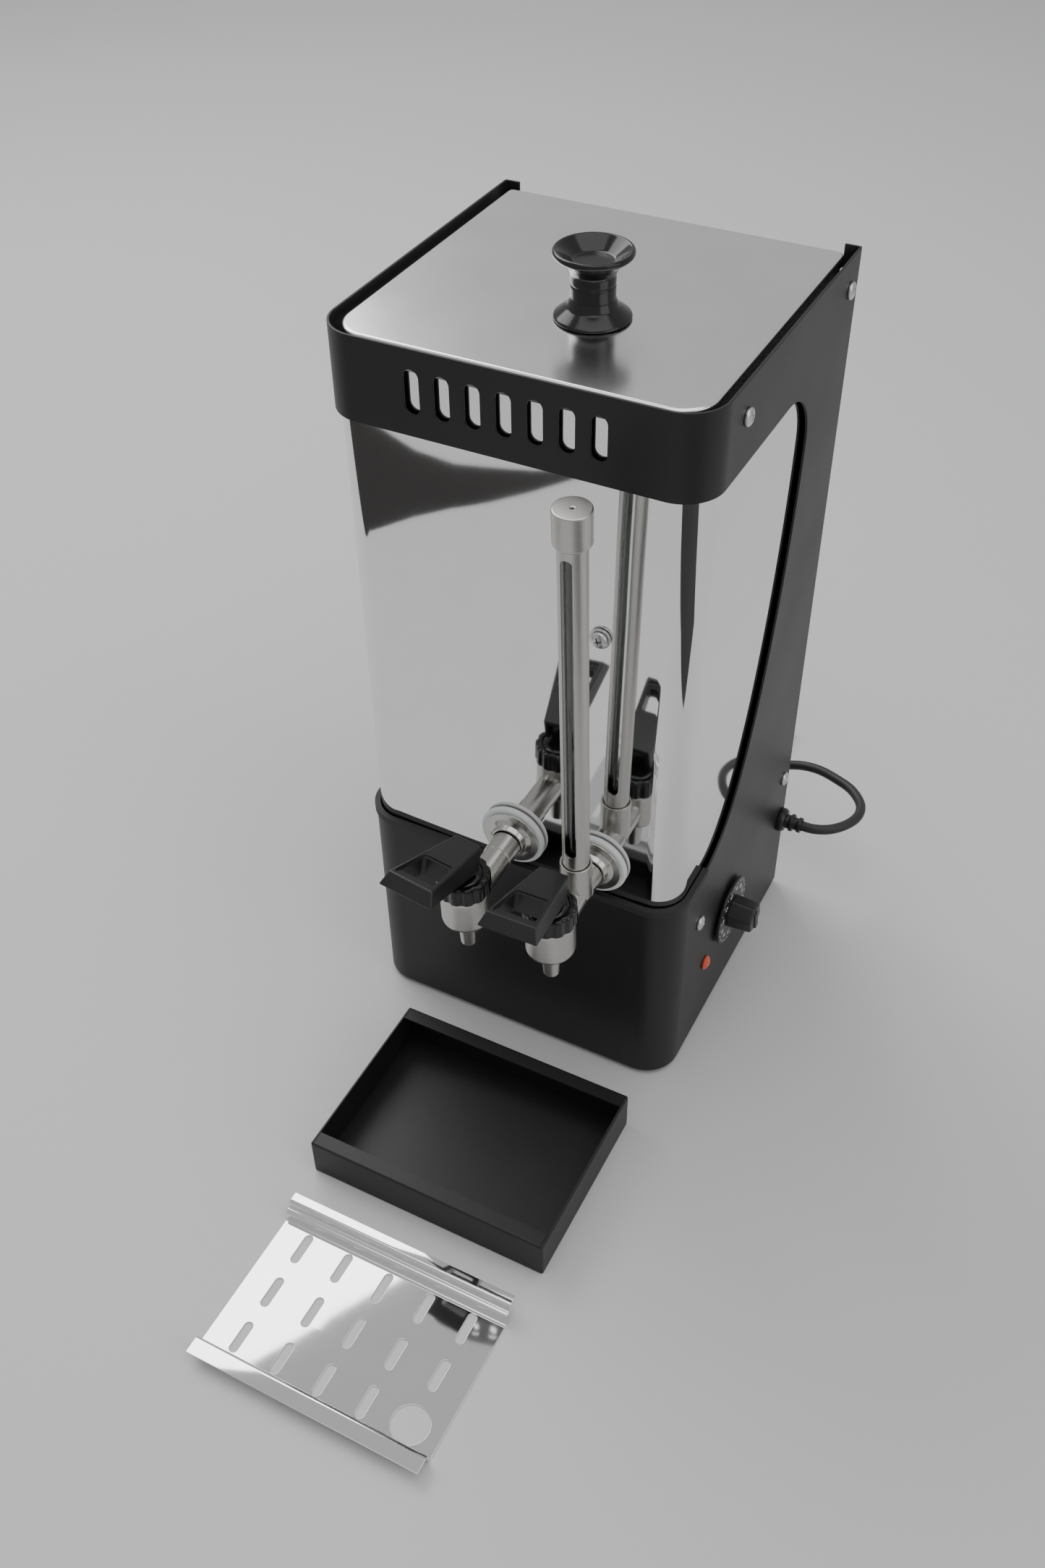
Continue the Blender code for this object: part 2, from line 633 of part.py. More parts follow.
top = LID_KNOB_HEIGHT
rim = LID_KNOB_RADIUS
neck = LID_KNOB_NECK
groove_z = 0.5 * top
knob_profile = [(0, top - 0.0065), (0.52 * rim, top - 0.0065), (0.92 * rim, top),
                (rim, top - 0.0008), (rim, top - 0.0030), (neck + 0.0022, top - 0.0085),
                (neck, top - 0.0125), (neck, groove_z + 0.0005), (neck - 0.0004, groove_z),
                (neck, groove_z - 0.0005), (neck, 0.0110), (neck + 0.0018, 0.0068), (0.86 * rim, 0.0034),
                (0.975 * rim, 0.0016), (0.975 * rim, GAP), (SCREW_SHANK_RADIUS + GAP, GAP),
                (SCREW_SHANK_RADIUS + GAP, 0.009), (0, 0.009)]
turned("lid_knob", knob_profile, lid_joint, BLACK_GLOSS, steps=20, location=(LID_KNOB_X, LID_KNOB_Y, 0))
turned("lid_knob_screw", [(0, 0.008), (SCREW_SHANK_RADIUS, 0.008), (SCREW_SHANK_RADIUS, -TANK_SHEET - GAP),
                          (0.0055, -TANK_SHEET - GAP), (0.0050, -TANK_SHEET - 0.0025),
                          (0, -TANK_SHEET - 0.0030)], lid_joint, ZINC, steps=12,
       location=(LID_KNOB_X, LID_KNOB_Y, 0))

# ------------------------------------------------------------------ dial, thermostat, lamp
dial_joint = empty("dial_joint", (SIDE, DIAL_Y, DIAL_Z), root, (0, math.pi / 2, 0))
turned("dial_disc", [(SHAFT_RADIUS + 0.0012, DIAL_FACE), (DIAL_RADIUS - 0.0006, DIAL_FACE),
                     (DIAL_RADIUS, DIAL_FACE - 0.0006), (DIAL_RADIUS, DIAL_STANDOFF),
                     (SHAFT_RADIUS + 0.0012, DIAL_STANDOFF)], dial_joint, BLACK_GLOSS, steps=32, closed=True)
knob = turned("dial_knob", [(0, DIAL_FACE + DIAL_KNOB_LENGTH - 0.0012),
                            (0.86 * DIAL_KNOB_RADIUS, DIAL_FACE + DIAL_KNOB_LENGTH - 0.0012),
                            (0.93 * DIAL_KNOB_RADIUS, DIAL_FACE + DIAL_KNOB_LENGTH - 0.0030),
                            (DIAL_KNOB_RADIUS, DIAL_FACE + GAP), (SHAFT_RADIUS, DIAL_FACE + GAP),
                            (SHAFT_RADIUS, -SHAFT_LENGTH), (0, -SHAFT_LENGTH)],
              dial_joint, BLACK_SATIN, steps=6, rotation=(0, 0, math.radians(12)))
ridge = place("knob_ridge", box_mesh("knob_ridge", (0.0165, 0.0052, 0.0060),
                                     (0.0012, 0, DIAL_FACE + DIAL_KNOB_LENGTH - 0.0030)), dial_joint, None,
              (0, 0, 0), (0, 0, math.radians(12)))
cut(knob, ridge, "UNION")
shaft_hole = place("shaft_hole", rod_mesh("shaft_hole", SHAFT_RADIUS + 0.0012, -0.03, 0.01, 16), dial_joint)
cut(frame, shaft_hole)

stat = place("thermostat", box_mesh("thermostat", (0.030, 0.034, 0.018),
                                    (0, 0, -FRAME_SHEET - GAP - 0.009)), dial_joint, ZINC)
stat_bore = place("thermostat_bore", rod_mesh("thermostat_bore", SHAFT_RADIUS + GAP, -SHAFT_LENGTH - 0.001,
                                              0.01, 16), dial_joint)
cut(stat, stat_bore)

lamp_joint = empty("lamp_spot", (SIDE + GAP, LAMP_Y, LAMP_Z), root, (0, math.pi / 2, 0))
turned("pilot_lamp", [(0, 0.0034), (0.45 * LAMP_RADIUS, 0.0031), (0.75 * LAMP_RADIUS, 0.0020),
                      (LAMP_RADIUS, 0.0010), (LAMP_RADIUS, 0), (0.7 * LAMP_RADIUS, 0),
                      (0.7 * LAMP_RADIUS, -0.016), (0, -0.016)], lamp_joint, LAMP, steps=14)
cut(frame, place("lamp_hole", rod_mesh("lamp_hole", 0.7 * LAMP_RADIUS + GAP, -0.01, 0.01, 16), lamp_joint))

# ------------------------------------------------------------------ taps
lever_length = LEVER_FRONT + LEVER_LIP


def lever_mesh():
    """Tapered block, its lip bevelled down and its rear end deep, about the pin at the origin."""
    work = bmesh.new()
    bmesh.ops.create_cube(work, size=2)
    for corner in work.verts:
        right, back, high = corner.co
        if back > 0:
            width = LEVER_REAR_WIDTH + (0 if high > 0 else 0.0006)
            corner.co = (right * width / 2, LEVER_BACK, LEVER_RISE if high > 0 else -LEVER_DROP)
        elif high > 0:
            corner.co = (right * LEVER_FRONT_WIDTH / 2, -LEVER_FRONT, LEVER_RISE)
        else:
            corner.co = (right * LEVER_LIP_WIDTH / 2, -lever_length, LEVER_LIP_RISE)
    bmesh.ops.recalc_face_normals(work, faces=work.faces)
    return finish(work, "lever")


def trapezoid(rear_half, front_half, rear, front):
    return [(-rear_half, rear), (-front_half, front), (front_half, front), (rear_half, rear)]


def lever_half(y, inset):
    """Half width of the lever's top at a distance, less a border."""
    share = (LEVER_BACK - y) / (LEVER_BACK + LEVER_FRONT)
    return (LEVER_REAR_WIDTH + (LEVER_FRONT_WIDTH - LEVER_REAR_WIDTH) * share) / 2 - inset


def build_tap(label, tap_x, lever_turn, tee):
    wall_y = TANK_FRONT - TANK_BULGE + tap_x ** 2 / (2 * BULGE_RADIUS)
    yaw = math.asin(tap_x / BULGE_RADIUS)
    seat = empty(f"tap_{label}_seat", (tap_x, wall_y, TAP_Z), root, (0, 0, yaw))
    line = empty(f"tap_{label}_line", (0, 0, 0), seat, (TAP_DROOP, 0, 0))
    valve = empty(f"tap_{label}_valve", (0, -TAP_REACH, 0), line)

    # washers and nut stand square to the tank
    hole = PIPE_RADIUS + 0.0006
    out = 0.0008
    ring_outer = out + SILICONE_THICKNESS
    turned(f"silicone_{label}", [(hole, ring_outer), (SILICONE_RADIUS - 0.0010, ring_outer),
                                 (SILICONE_RADIUS, ring_outer - 0.0010), (SILICONE_RADIUS, out),
                                 (hole, out)], seat, SILICONE, steps=24, closed=True,
           rotation=(math.pi / 2, 0, 0))
    flare_low = ring_outer + GAP
    turned(f"flare_{label}", [(hole, flare_low + FLARE_LENGTH), (hole + 0.0012, flare_low + FLARE_LENGTH),
                              (hole + 0.0030, flare_low + 0.0022), (FLARE_RADIUS, flare_low + 0.0008),
                              (FLARE_RADIUS, flare_low), (hole, flare_low)], seat, MIRROR, steps=24,
           closed=True, rotation=(math.pi / 2, 0, 0))
    nut_face = VESSEL_INSET + TANK_SHEET + 0.0014
    nut_rings = [arc((0, 0), 0.0150, 0, 300, 5), list(reversed(arc((0, 0), PIPE_RADIUS + GAP, 0, 340, 17)))]
    place(f"lock_nut_{label}", outline_mesh("lock_nut", nut_rings, 0.006, -nut_face - 0.003, "XZ"), line,
          ZINC)

    # valve body: turned body and spout, with the pipe (and the gauge's socket) joined in
    body = turned(f"valve_body_{label}", [
        (0, VALVE_NECK_TOP), (VALVE_NECK_RADIUS, VALVE_NECK_TOP), (VALVE_NECK_RADIUS, VALVE_SHOULDER),
        (VALVE_RADIUS, VALVE_SHOULDER), (VALVE_RADIUS, VALVE_BOTTOM + 0.0036),
        (VALVE_RADIUS - 0.0009, VALVE_BOTTOM + 0.0013), (VALVE_RADIUS - 0.0030, VALVE_BOTTOM),
        (SPOUT_ROOT_RADIUS, VALVE_BOTTOM), (SPOUT_TIP_RADIUS + 0.0003, SPOUT_TIP + 0.006),
        (SPOUT_TIP_RADIUS, SPOUT_TIP), (0, SPOUT_TIP)], valve, BRUSHED, steps=20)
    pipe = place(f"pipe_{label}", rod_mesh("pipe", PIPE_RADIUS, 0, TAP_REACH + PIPE_INSIDE, 16, "Y"), valve)
    cut(body, pipe, "UNION")
    if tee:
        socket = place("tee_socket", rod_mesh("tee_socket", TEE_RADIUS, 0, TEE_TOP, 16), line, None,
                       (0, -TEE_FORWARD, 0))
        cut(body, socket, "UNION")
        for name, radius, low in (("guard_bore", GUARD_RADIUS + GAP, GUARD_SEAT - GAP),
                                  ("glass_bore", GLASS_RADIUS - GLASS_WALL, 0)):
            bore = place(name, rod_mesh(name, radius, low, TEE_TOP + 0.01, 16), line, None,
                         (0, -TEE_FORWARD, 0))
            cut(body, bore)
    above = VALVE_NECK_TOP + 0.01
    below = SPOUT_TIP - 0.01
    hollow = turned(f"valve_hollow_{label}", [(0, above), (VALVE_BORE, above), (VALVE_BORE, SEAT_Z),
                                              (SEAT_BORE, SEAT_Z), (SEAT_BORE, below), (0, below)],
                    valve, None, steps=14)
    cut(body, hollow)
    cut(body, place(f"pipe_bore_{label}", rod_mesh("pipe_bore", PIPE_BORE, 0.002,
                                                   TAP_REACH + PIPE_INSIDE + 0.01, 12, "Y"), valve))
    for wall in (jacket, vessel):
        cut(wall, place(f"pipe_hole_{label}_{wall.name}",
                        rod_mesh("pipe_hole", hole, -0.006, 0.016, 20, "Y"), line))

    # bonnet with the lever's post, held by the fluted collar
    head = empty(f"tap_{label}_head", (0, 0, 0), valve, (0, 0, lever_turn))
    flange_low = VALVE_NECK_TOP + GAP
    flange_high = COLLAR_TOP - 0.0017 - GAP
    dome = VALVE_NECK_RADIUS - 0.0014
    bonnet = turned(f"bonnet_{label}", [
        (0, COLLAR_TOP + 0.0008), (dome - 0.0012, COLLAR_TOP + 0.0008), (dome, COLLAR_TOP),
        (dome, flange_high), (VALVE_NECK_RADIUS, flange_high), (VALVE_NECK_RADIUS, flange_low),
        (VALVE_BORE - GAP, flange_low), (VALVE_BORE - GAP, flange_low - 0.008), (0, flange_low - 0.008)],
        head, BLACK_GLOSS, steps=20)
    post_top = PIN_Z + 0.0048
    post_low = COLLAR_TOP - 0.0013
    post = place(f"post_{label}", box_mesh("post", (POST_WIDTH, POST_DEPTH, post_top - post_low),
                                           (0, -PIN_FORWARD + 0.002, (post_top + post_low) / 2)), head)
    soften(post, 0.0012, 1)
    cut(bonnet, post, "UNION")
    cut(bonnet, place(f"stem_bore_{label}", rod_mesh("stem_bore", STEM_RADIUS + GAP, 0, COLLAR_TOP + 0.0002,
                                                     16), head))
    cut(bonnet, place(f"pin_bore_{label}", rod_mesh("pin_bore", PIN_RADIUS + GAP, -0.02, 0.02, 12, "X",
                                                    centre=(-PIN_FORWARD, PIN_Z)), head))
    collar = turned(f"collar_{label}", [
        (dome + GAP, COLLAR_TOP), (COLLAR_RADIUS - 0.0016, COLLAR_TOP), (COLLAR_RADIUS, COLLAR_TOP - 0.0014),
        (COLLAR_RADIUS, VALVE_SHOULDER + GAP), (VALVE_NECK_RADIUS + GAP, VALVE_SHOULDER + GAP),
        (VALVE_NECK_RADIUS + GAP, flange_high + GAP), (dome + GAP, flange_high + GAP)],
        head, BLACK_GLOSS, steps=2 * COLLAR_FLUTES, closed=True)
    for index in range(COLLAR_FLUTES):
        turn = 2 * math.pi * index / COLLAR_FLUTES
        ring = COLLAR_RADIUS + 0.0014
        cut(collar, place(f"flute_{label}_{index}", rod_mesh("flute", 0.0022, 0, COLLAR_TOP + 0.01, 6), head,
                          None, (ring * math.cos(turn), ring * math.sin(turn), 0)))

    # stem with its seal
    stem_joint = empty(f"stem_{label}_joint", (0, 0, SEAT_Z), valve)
    stem_top = COLLAR_TOP - STEM_LIFT - 0.0004 - SEAT_Z
    turned(f"stem_{label}", [(0, stem_top), (STEM_RADIUS, stem_top), (STEM_RADIUS, 0.0050), (0.0062, 0.0044),
                             (0.0062, 0.0014), (0.0050, GAP), (0, GAP)], stem_joint, RUBBER, steps=16)

    # lever on its pin
    hinge = empty(f"lever_{label}_joint", (0, -PIN_FORWARD, PIN_Z), head, (-LEVER_TILT, 0, 0))
    lever = place(f"lever_{label}", lever_mesh(), hinge, BLACK_SATIN)
    soften(lever, 0.0012, 2)
    slot = POST_WIDTH / 2 + GAP
    pocket_front = -POST_DEPTH / 2 - 0.0080
    pocket = place(f"lever_pocket_{label}", box_mesh(
        "lever_pocket", (2 * slot, LEVER_BACK + 0.01 - pocket_front, LEVER_RISE - 0.0028 + 0.02),
        (0, (LEVER_BACK + 0.01 + pocket_front) / 2, (LEVER_RISE - 0.0028 - 0.02) / 2)), hinge)
    cut(lever, pocket)
    opening = trapezoid(lever_half(-LEVER_WINDOW_BACK, 0.0030), lever_half(-LEVER_WINDOW_FRONT, 0.0030),
                        -LEVER_WINDOW_BACK, -LEVER_WINDOW_FRONT)
    cut(lever, place(f"lever_window_{label}", outline_mesh("lever_window", [opening], 0.04), hinge))
    recess_back = -LEVER_WINDOW_BACK + 0.0070
    recess_front = -LEVER_FRONT + 0.0022
    recess = trapezoid(lever_half(recess_back, 0.0016), lever_half(recess_front, 0.0016), recess_back,
                       recess_front)
    slope = math.atan2(0.0013, recess_back - recess_front)
    dip = place(f"lever_recess_{label}", outline_mesh("lever_recess", [recess], 0.004, 0.002), hinge, None,
                (0, 0, LEVER_RISE - recess_back * math.tan(slope)), (slope, 0, 0))
    cut(lever, dip)
    reach = LEVER_REAR_WIDTH / 2 + 0.0012
    pin_tool = place(f"lever_pin_hole_{label}", rod_mesh("lever_pin_hole", PIN_RADIUS + GAP, -0.03, 0.03, 12,
                                                         "X"), hinge)
    cut(lever, pin_tool)
    place(f"pin_{label}", rod_mesh(f"pin_{label}", PIN_RADIUS, -reach, reach, 12, "X",
                                   centre=(-PIN_FORWARD, PIN_Z)), head, ZINC)
    return line


build_tap("left", TAP_LEFT_X, LEVER_LEFT_TURN, tee=False)
gauge_line = build_tap("right", TAP_RIGHT_X, LEVER_RIGHT_TURN, tee=True)

# ------------------------------------------------------------------ level gauge
gauge = empty("gauge", (0, -TEE_FORWARD, 0), gauge_line)
guard_top = GAUGE_TOP - CAP_ROOF - GAP
inner = GUARD_RADIUS - GUARD_WALL
guard = turned("gauge_guard", [(inner, guard_top), (GUARD_RADIUS, guard_top), (GUARD_RADIUS, GUARD_SEAT),
                               (inner, GUARD_SEAT)], gauge, BRUSHED, steps=16, closed=True)
slot_low = TEE_TOP + 0.010
slot_high = GAUGE_TOP - CAP_HEIGHT - 0.006
cut(guard, place("guard_slot", outline_mesh(
    "guard_slot", [obround((0, (slot_low + slot_high) / 2), GUARD_SLOT, slot_high - slot_low, 8)], 0.04, 0,
    "XZ"), gauge))
bore = GLASS_RADIUS - GLASS_WALL
turned("gauge_glass", [(bore, guard_top - 0.002), (GLASS_RADIUS, guard_top - 0.002),
                       (GLASS_RADIUS, GUARD_SEAT), (bore, GUARD_SEAT)], gauge, GLASS, steps=12, closed=True)
cap_low = GAUGE_TOP - CAP_HEIGHT
turned("gauge_cap", [(0.0008, GAUGE_TOP), (CAP_RADIUS - 0.0009, GAUGE_TOP), (CAP_RADIUS, GAUGE_TOP - 0.0009),
                     (CAP_RADIUS, cap_low + 0.0004), (CAP_RADIUS - 0.0004, cap_low),
                     (GUARD_RADIUS + GAP, cap_low), (GUARD_RADIUS + GAP, GAUGE_TOP - CAP_ROOF),
                     (0.0008, GAUGE_TOP - CAP_ROOF)], gauge, BRUSHED, steps=16, closed=True)

# screw with a washer on the tank's front behind the gauge
stay_wall = TANK_FRONT - TANK_BULGE + STAY_X ** 2 / (2 * BULGE_RADIUS)
stay = empty("stay_spot", (STAY_X, stay_wall, STAY_Z), root,
             (math.pi / 2, 0, math.asin(STAY_X / BULGE_RADIUS)))
turned("stay_washer", [(SCREW_SHANK_RADIUS + GAP, 0.0022), (0.0056, 0.0022), (0.0062, 0.0016),
                       (0.0062, 0.0004), (SCREW_SHANK_RADIUS + GAP, 0.0004)], stay, ZINC, steps=16,
       closed=True)
place("stay_screw", screw_mesh, stay, ZINC, (0, 0, 0.0022 + GAP))
cut(jacket, place("stay_hole", rod_mesh("stay_hole", SCREW_SHANK_RADIUS + GAP, -0.0045, 0.004, 12), stay))

# ------------------------------------------------------------------ strain relief
relief_y = REAR - RELIEF_Y_INSET
relief_spot = empty("relief_spot", (SIDE, relief_y, RELIEF_Z), root, (0, math.pi / 2, 0))
cord_hole = CORD_RADIUS + GAP
ribs = [(cord_hole, RELIEF_OUT), (0.0056, RELIEF_OUT), (0.0057, 0.0142), (0.0046, 0.0140), (0.0047, 0.0112),
        (0.0064, 0.0110), (0.0065, 0.0084), (0.0051, 0.0082), (0.0053, 0.0054),
        (RELIEF_RADIUS - 0.0012, 0.0050), (RELIEF_RADIUS, 0.0032), (RELIEF_RADIUS, GAP), (0.0062, GAP),
        (0.0062, -RELIEF_IN), (cord_hole, -RELIEF_IN)]
turned("strain_relief", ribs, relief_spot, BLACK_SATIN, steps=14, closed=True)
cut(frame, place("relief_hole", rod_mesh("relief_hole", 0.0062 + GAP, -0.01, 0.01, 16), relief_spot))

# ------------------------------------------------------------------ cord and plug
def smooth_route(points, count):
    """Catmull-Rom curve through the points, evenly divided."""
    padded = [points[0] * 2 - points[1]] + points + [points[-1] * 2 - points[-2]]
    route = []
    for i in range(count):
        place_on = i * (len(points) - 1) / (count - 1)
        k = min(int(place_on), len(points) - 2)
        t = place_on - k
        a, b, c, d = padded[k:k + 4]
        route.append(0.5 * ((2 * b) + (c - a) * t + (2 * a - 5 * b + 4 * c - d) * t * t
                            + (3 * b - a - 3 * c + d) * t ** 3))
    return route


def cord(name, points, count, fine=2):
    curve = bpy.data.curves.new(name, "CURVE")
    curve.dimensions = "3D"
    curve.bevel_depth = CORD_RADIUS
    curve.bevel_resolution = fine
    curve.use_fill_caps = True
    spline = curve.splines.new("POLY")
    route = smooth_route([Vector(p) for p in points], count)
    spline.points.add(len(route) - 1)
    for spot, co in zip(spline.points, route):
        spot.co = (*co, 1)
    made = bpy.data.objects.new(name, curve)
    made.parent = root
    parts.objects.link(made)
    made.data.materials.append(CABLE)
    return made


lie = CORD_RADIUS + GAP
coil_y = REAR + COIL_BACK
outer_turn = COIL_RADIUS + CORD_RADIUS
lay_y = coil_y - outer_turn
clear_of_coil = math.sqrt((COIL_RADIUS + 3 * CORD_RADIUS + 2 * GAP) ** 2 - outer_turn ** 2)
# out of the strain relief, a loose turn backwards, then down behind the body to the counter
loop = [(-0.008, 0, 0), (0.006, 0, 0), (0.0185, 0, 0), (0.0270, 0.0010, 0), (0.0365, 0.0062, -0.0005),
        (0.0446, 0.0155, -0.0010), (0.0494, 0.0270, -0.0015), (0.0492, 0.0380, -0.0020),
        (0.0446, 0.0480, -0.0030), (0.0350, 0.0580, -0.0040), (0.0233, 0.0643, -0.0050),
        (0.0075, 0.0705, -0.0065), (-0.0080, 0.0734, -0.0100), (-0.0240, 0.0755, -0.0180),
        (-0.0390, 0.0770, -0.0300), (-0.0520, 0.0780, -0.0440)]
run = [(SIDE + x, relief_y + y, RELIEF_Z + z) for x, y, z in loop]
run += [(SIDE - 0.0655, lay_y - 0.0012, lie + 0.0140), (SIDE - 0.0810, lay_y - 0.0004, lie + 0.0045),
        (SIDE - 0.0980, lay_y, lie + 0.0004), (SIDE - 0.1150, lay_y, lie),
        (COIL_X + clear_of_coil, lay_y, lie)]
cord("cord_lead", run, 36)
inner_edge = COIL_RADIUS - 2 * CORD_RADIUS
outer_edge = COIL_RADIUS + 2 * CORD_RADIUS
stack = 4 * CORD_RADIUS
ease = 0.6 * CORD_RADIUS
turned("cord_coil", [(inner_edge + ease, stack), (outer_edge - ease, stack), (outer_edge, stack - ease),
                     (outer_edge, ease), (outer_edge - ease, 0), (inner_edge + ease, 0), (inner_edge, ease),
                     (inner_edge, stack - ease)], root, CABLE, steps=20, closed=True,
       location=(COIL_X, coil_y, GAP))
plug_x = COIL_X + clear_of_coil + 0.042
plug_y = coil_y + outer_turn
plug_z = PLUG_HALF_HEIGHT
cord("cord_tail", [(COIL_X + clear_of_coil, plug_y, lie), (COIL_X + clear_of_coil + 0.012, plug_y, lie),
                   (plug_x - 0.014, plug_y, plug_z - 0.0006), (plug_x - GAP, plug_y, plug_z)], 10)
plug_spot = empty("plug_spot", (plug_x, plug_y, plug_z), root, (0, math.pi / 2, 0))
plug = place("plug", box_mesh("plug", (2 * PLUG_HALF_HEIGHT, 2 * PLUG_HALF_WIDTH, PLUG_LENGTH),
                              (0, 0, PLUG_LENGTH / 2)), plug_spot, CABLE)
for corner in plug.data.vertices:
    if corner.co.z < PLUG_LENGTH / 2:
        corner.co.y *= 0.5
        corner.co.x *= 0.75
soften(plug, 0.0020, 2)
for index in range(3):
    pin = rod_mesh("plug_pin", 0.0020, PLUG_LENGTH - 0.004, PLUG_LENGTH + 0.019, 10)
    cut(plug, place(f"plug_pin_{index}", pin, plug_spot, None,
                    (0.0012 * (index % 2) - 0.0006, (index - 1) * 0.0095, 0)), "UNION")

# ------------------------------------------------------------------ drip tray
tray_joint = empty("tray_joint", (TRAY_X, (TRAY_REAR + TRAY_FRONT) / 2, 0), root)
tray = place("drip_tray", box_mesh("drip_tray", (TRAY_WIDTH, TRAY_LENGTH, TRAY_HEIGHT),
                                   (0, 0, TRAY_HEIGHT / 2)), tray_joint, BLACK_COAT)
soften(tray, 0.0010, 2)
inside = TRAY_WIDTH - 2 * TRAY_WALL
cut(tray, place("tray_cavity", box_mesh("tray_cavity", (
    inside, TRAY_LENGTH - 2 * TRAY_WALL, TRAY_HEIGHT - 2 * TRAY_WALL), (0, 0, TRAY_HEIGHT / 2)), tray_joint))
cut(tray, place("tray_mouth", box_mesh("tray_mouth", (inside, TRAY_LENGTH - 2 * TRAY_FLANGE, TRAY_HEIGHT),
                                       (0, 0, TRAY_HEIGHT)), tray_joint))

# ------------------------------------------------------------------ grille
grille_joint = empty("grille_joint", (TRAY_X, (GRILLE_PLATE_REAR + GRILLE_PLATE_FRONT) / 2, 0), root)
half = GRILLE_PLATE / 2
step_back = half + GRILLE_STEP
fold = [(-half - GRILLE_FRONT_FLANGE, GRILLE_FRONT_RISE), (-half, GRILLE_FRONT_RISE), (-half, 0), (half, 0),
        (half, GRILLE_STEP_RISE), (step_back, GRILLE_STEP_RISE),
        (step_back, GRILLE_STEP_RISE + GRILLE_REAR_RISE),
        (step_back + GRILLE_REAR_FLANGE, GRILLE_STEP_RISE + GRILLE_REAR_RISE)]
grille = place("drip_grille", loft("drip_grille", [[(-GRILLE_WIDTH / 2, y, z) for y, z in fold],
                                                   [(GRILLE_WIDTH / 2, y, z) for y, z in fold]],
                                   closed=False), grille_joint, MIRROR)
solidify(grille, GRILLE_SHEET, outward=True)
openings = []
for row in range(3):
    for column in range(5):
        spot = ((column - 2) * GRILLE_PITCH_X, (1 - row) * GRILLE_PITCH_Y)
        if (row, column) == (2, 4):
            openings.append(arc(spot, GRILLE_HOLE_RADIUS, 0, 342, 19))
        else:
            openings.append(obround(spot, GRILLE_SLOT_WIDTH, GRILLE_SLOT_LENGTH, 3))
for index, opening in enumerate(openings):
    cut(grille, place(f"grille_opening_{index}", outline_mesh("grille_opening", [opening], 0.01),
                      grille_joint))
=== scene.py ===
# %% [markdown]
# # A countertop water dispenser
# A black folded sheet stands round a mirror-polished tank. Two lever taps, a level gauge and a lid with a
# spool knob are on it, a thermostat dial and a lamp are on its right side, and a drip tray and a steel
# grille lie in front. The engineering model is loaded first and stays fixed. Everything after it is the
# fine surface: each piece is built in mesh code where the plain solid already is, and rides on its body.

# %% Load the fixed frame
import math

import bmesh
import bpy
from mathutils import Matrix, Vector


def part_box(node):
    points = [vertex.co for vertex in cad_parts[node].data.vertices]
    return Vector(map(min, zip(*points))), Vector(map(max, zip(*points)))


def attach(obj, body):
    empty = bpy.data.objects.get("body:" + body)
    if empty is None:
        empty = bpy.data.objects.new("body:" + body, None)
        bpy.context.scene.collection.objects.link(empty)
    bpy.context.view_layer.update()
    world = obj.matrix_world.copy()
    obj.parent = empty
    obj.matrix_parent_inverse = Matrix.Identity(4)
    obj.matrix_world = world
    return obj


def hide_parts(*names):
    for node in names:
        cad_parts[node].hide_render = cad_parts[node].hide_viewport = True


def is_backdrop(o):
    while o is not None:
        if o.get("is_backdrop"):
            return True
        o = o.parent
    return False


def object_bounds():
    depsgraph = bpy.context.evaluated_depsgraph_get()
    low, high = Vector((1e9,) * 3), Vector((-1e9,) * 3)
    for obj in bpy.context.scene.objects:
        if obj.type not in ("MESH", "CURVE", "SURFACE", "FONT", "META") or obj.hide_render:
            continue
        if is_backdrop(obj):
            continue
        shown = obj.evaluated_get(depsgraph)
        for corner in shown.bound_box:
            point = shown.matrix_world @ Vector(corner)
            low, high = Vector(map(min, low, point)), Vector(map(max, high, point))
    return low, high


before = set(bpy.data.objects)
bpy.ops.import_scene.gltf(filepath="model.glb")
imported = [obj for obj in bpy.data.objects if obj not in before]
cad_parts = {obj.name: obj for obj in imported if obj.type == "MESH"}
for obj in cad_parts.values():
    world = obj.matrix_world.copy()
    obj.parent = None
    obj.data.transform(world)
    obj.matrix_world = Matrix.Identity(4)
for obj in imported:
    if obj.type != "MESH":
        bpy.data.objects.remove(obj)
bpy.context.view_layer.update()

# %% [markdown]
# ## Shader maths as plain expressions
# A procedural finish is a graph of small nodes. Wiring them one by one is hard to read, so one output is
# wrapped in a class whose operators add Math nodes: `0.4 + grain * 0.1` is then a piece of the graph.
# Every other node comes from one method, which sets its options first and its sockets afterwards.

# %% A wrapped socket and a finish
class Wire:
    """One output of a shader node; arithmetic on it adds Math nodes."""

    def __init__(self, finish, socket):
        self.finish = finish
        self.socket = socket

    def calculate(self, operation, first, second):
        return self.finish.node("ShaderNodeMath", {"operation": operation}, {0: first, 1: second})

    def __add__(self, other):
        return self.calculate("ADD", self, other)

    def __mul__(self, other):
        return self.calculate("MULTIPLY", self, other)

    __radd__ = __add__
    __rmul__ = __mul__


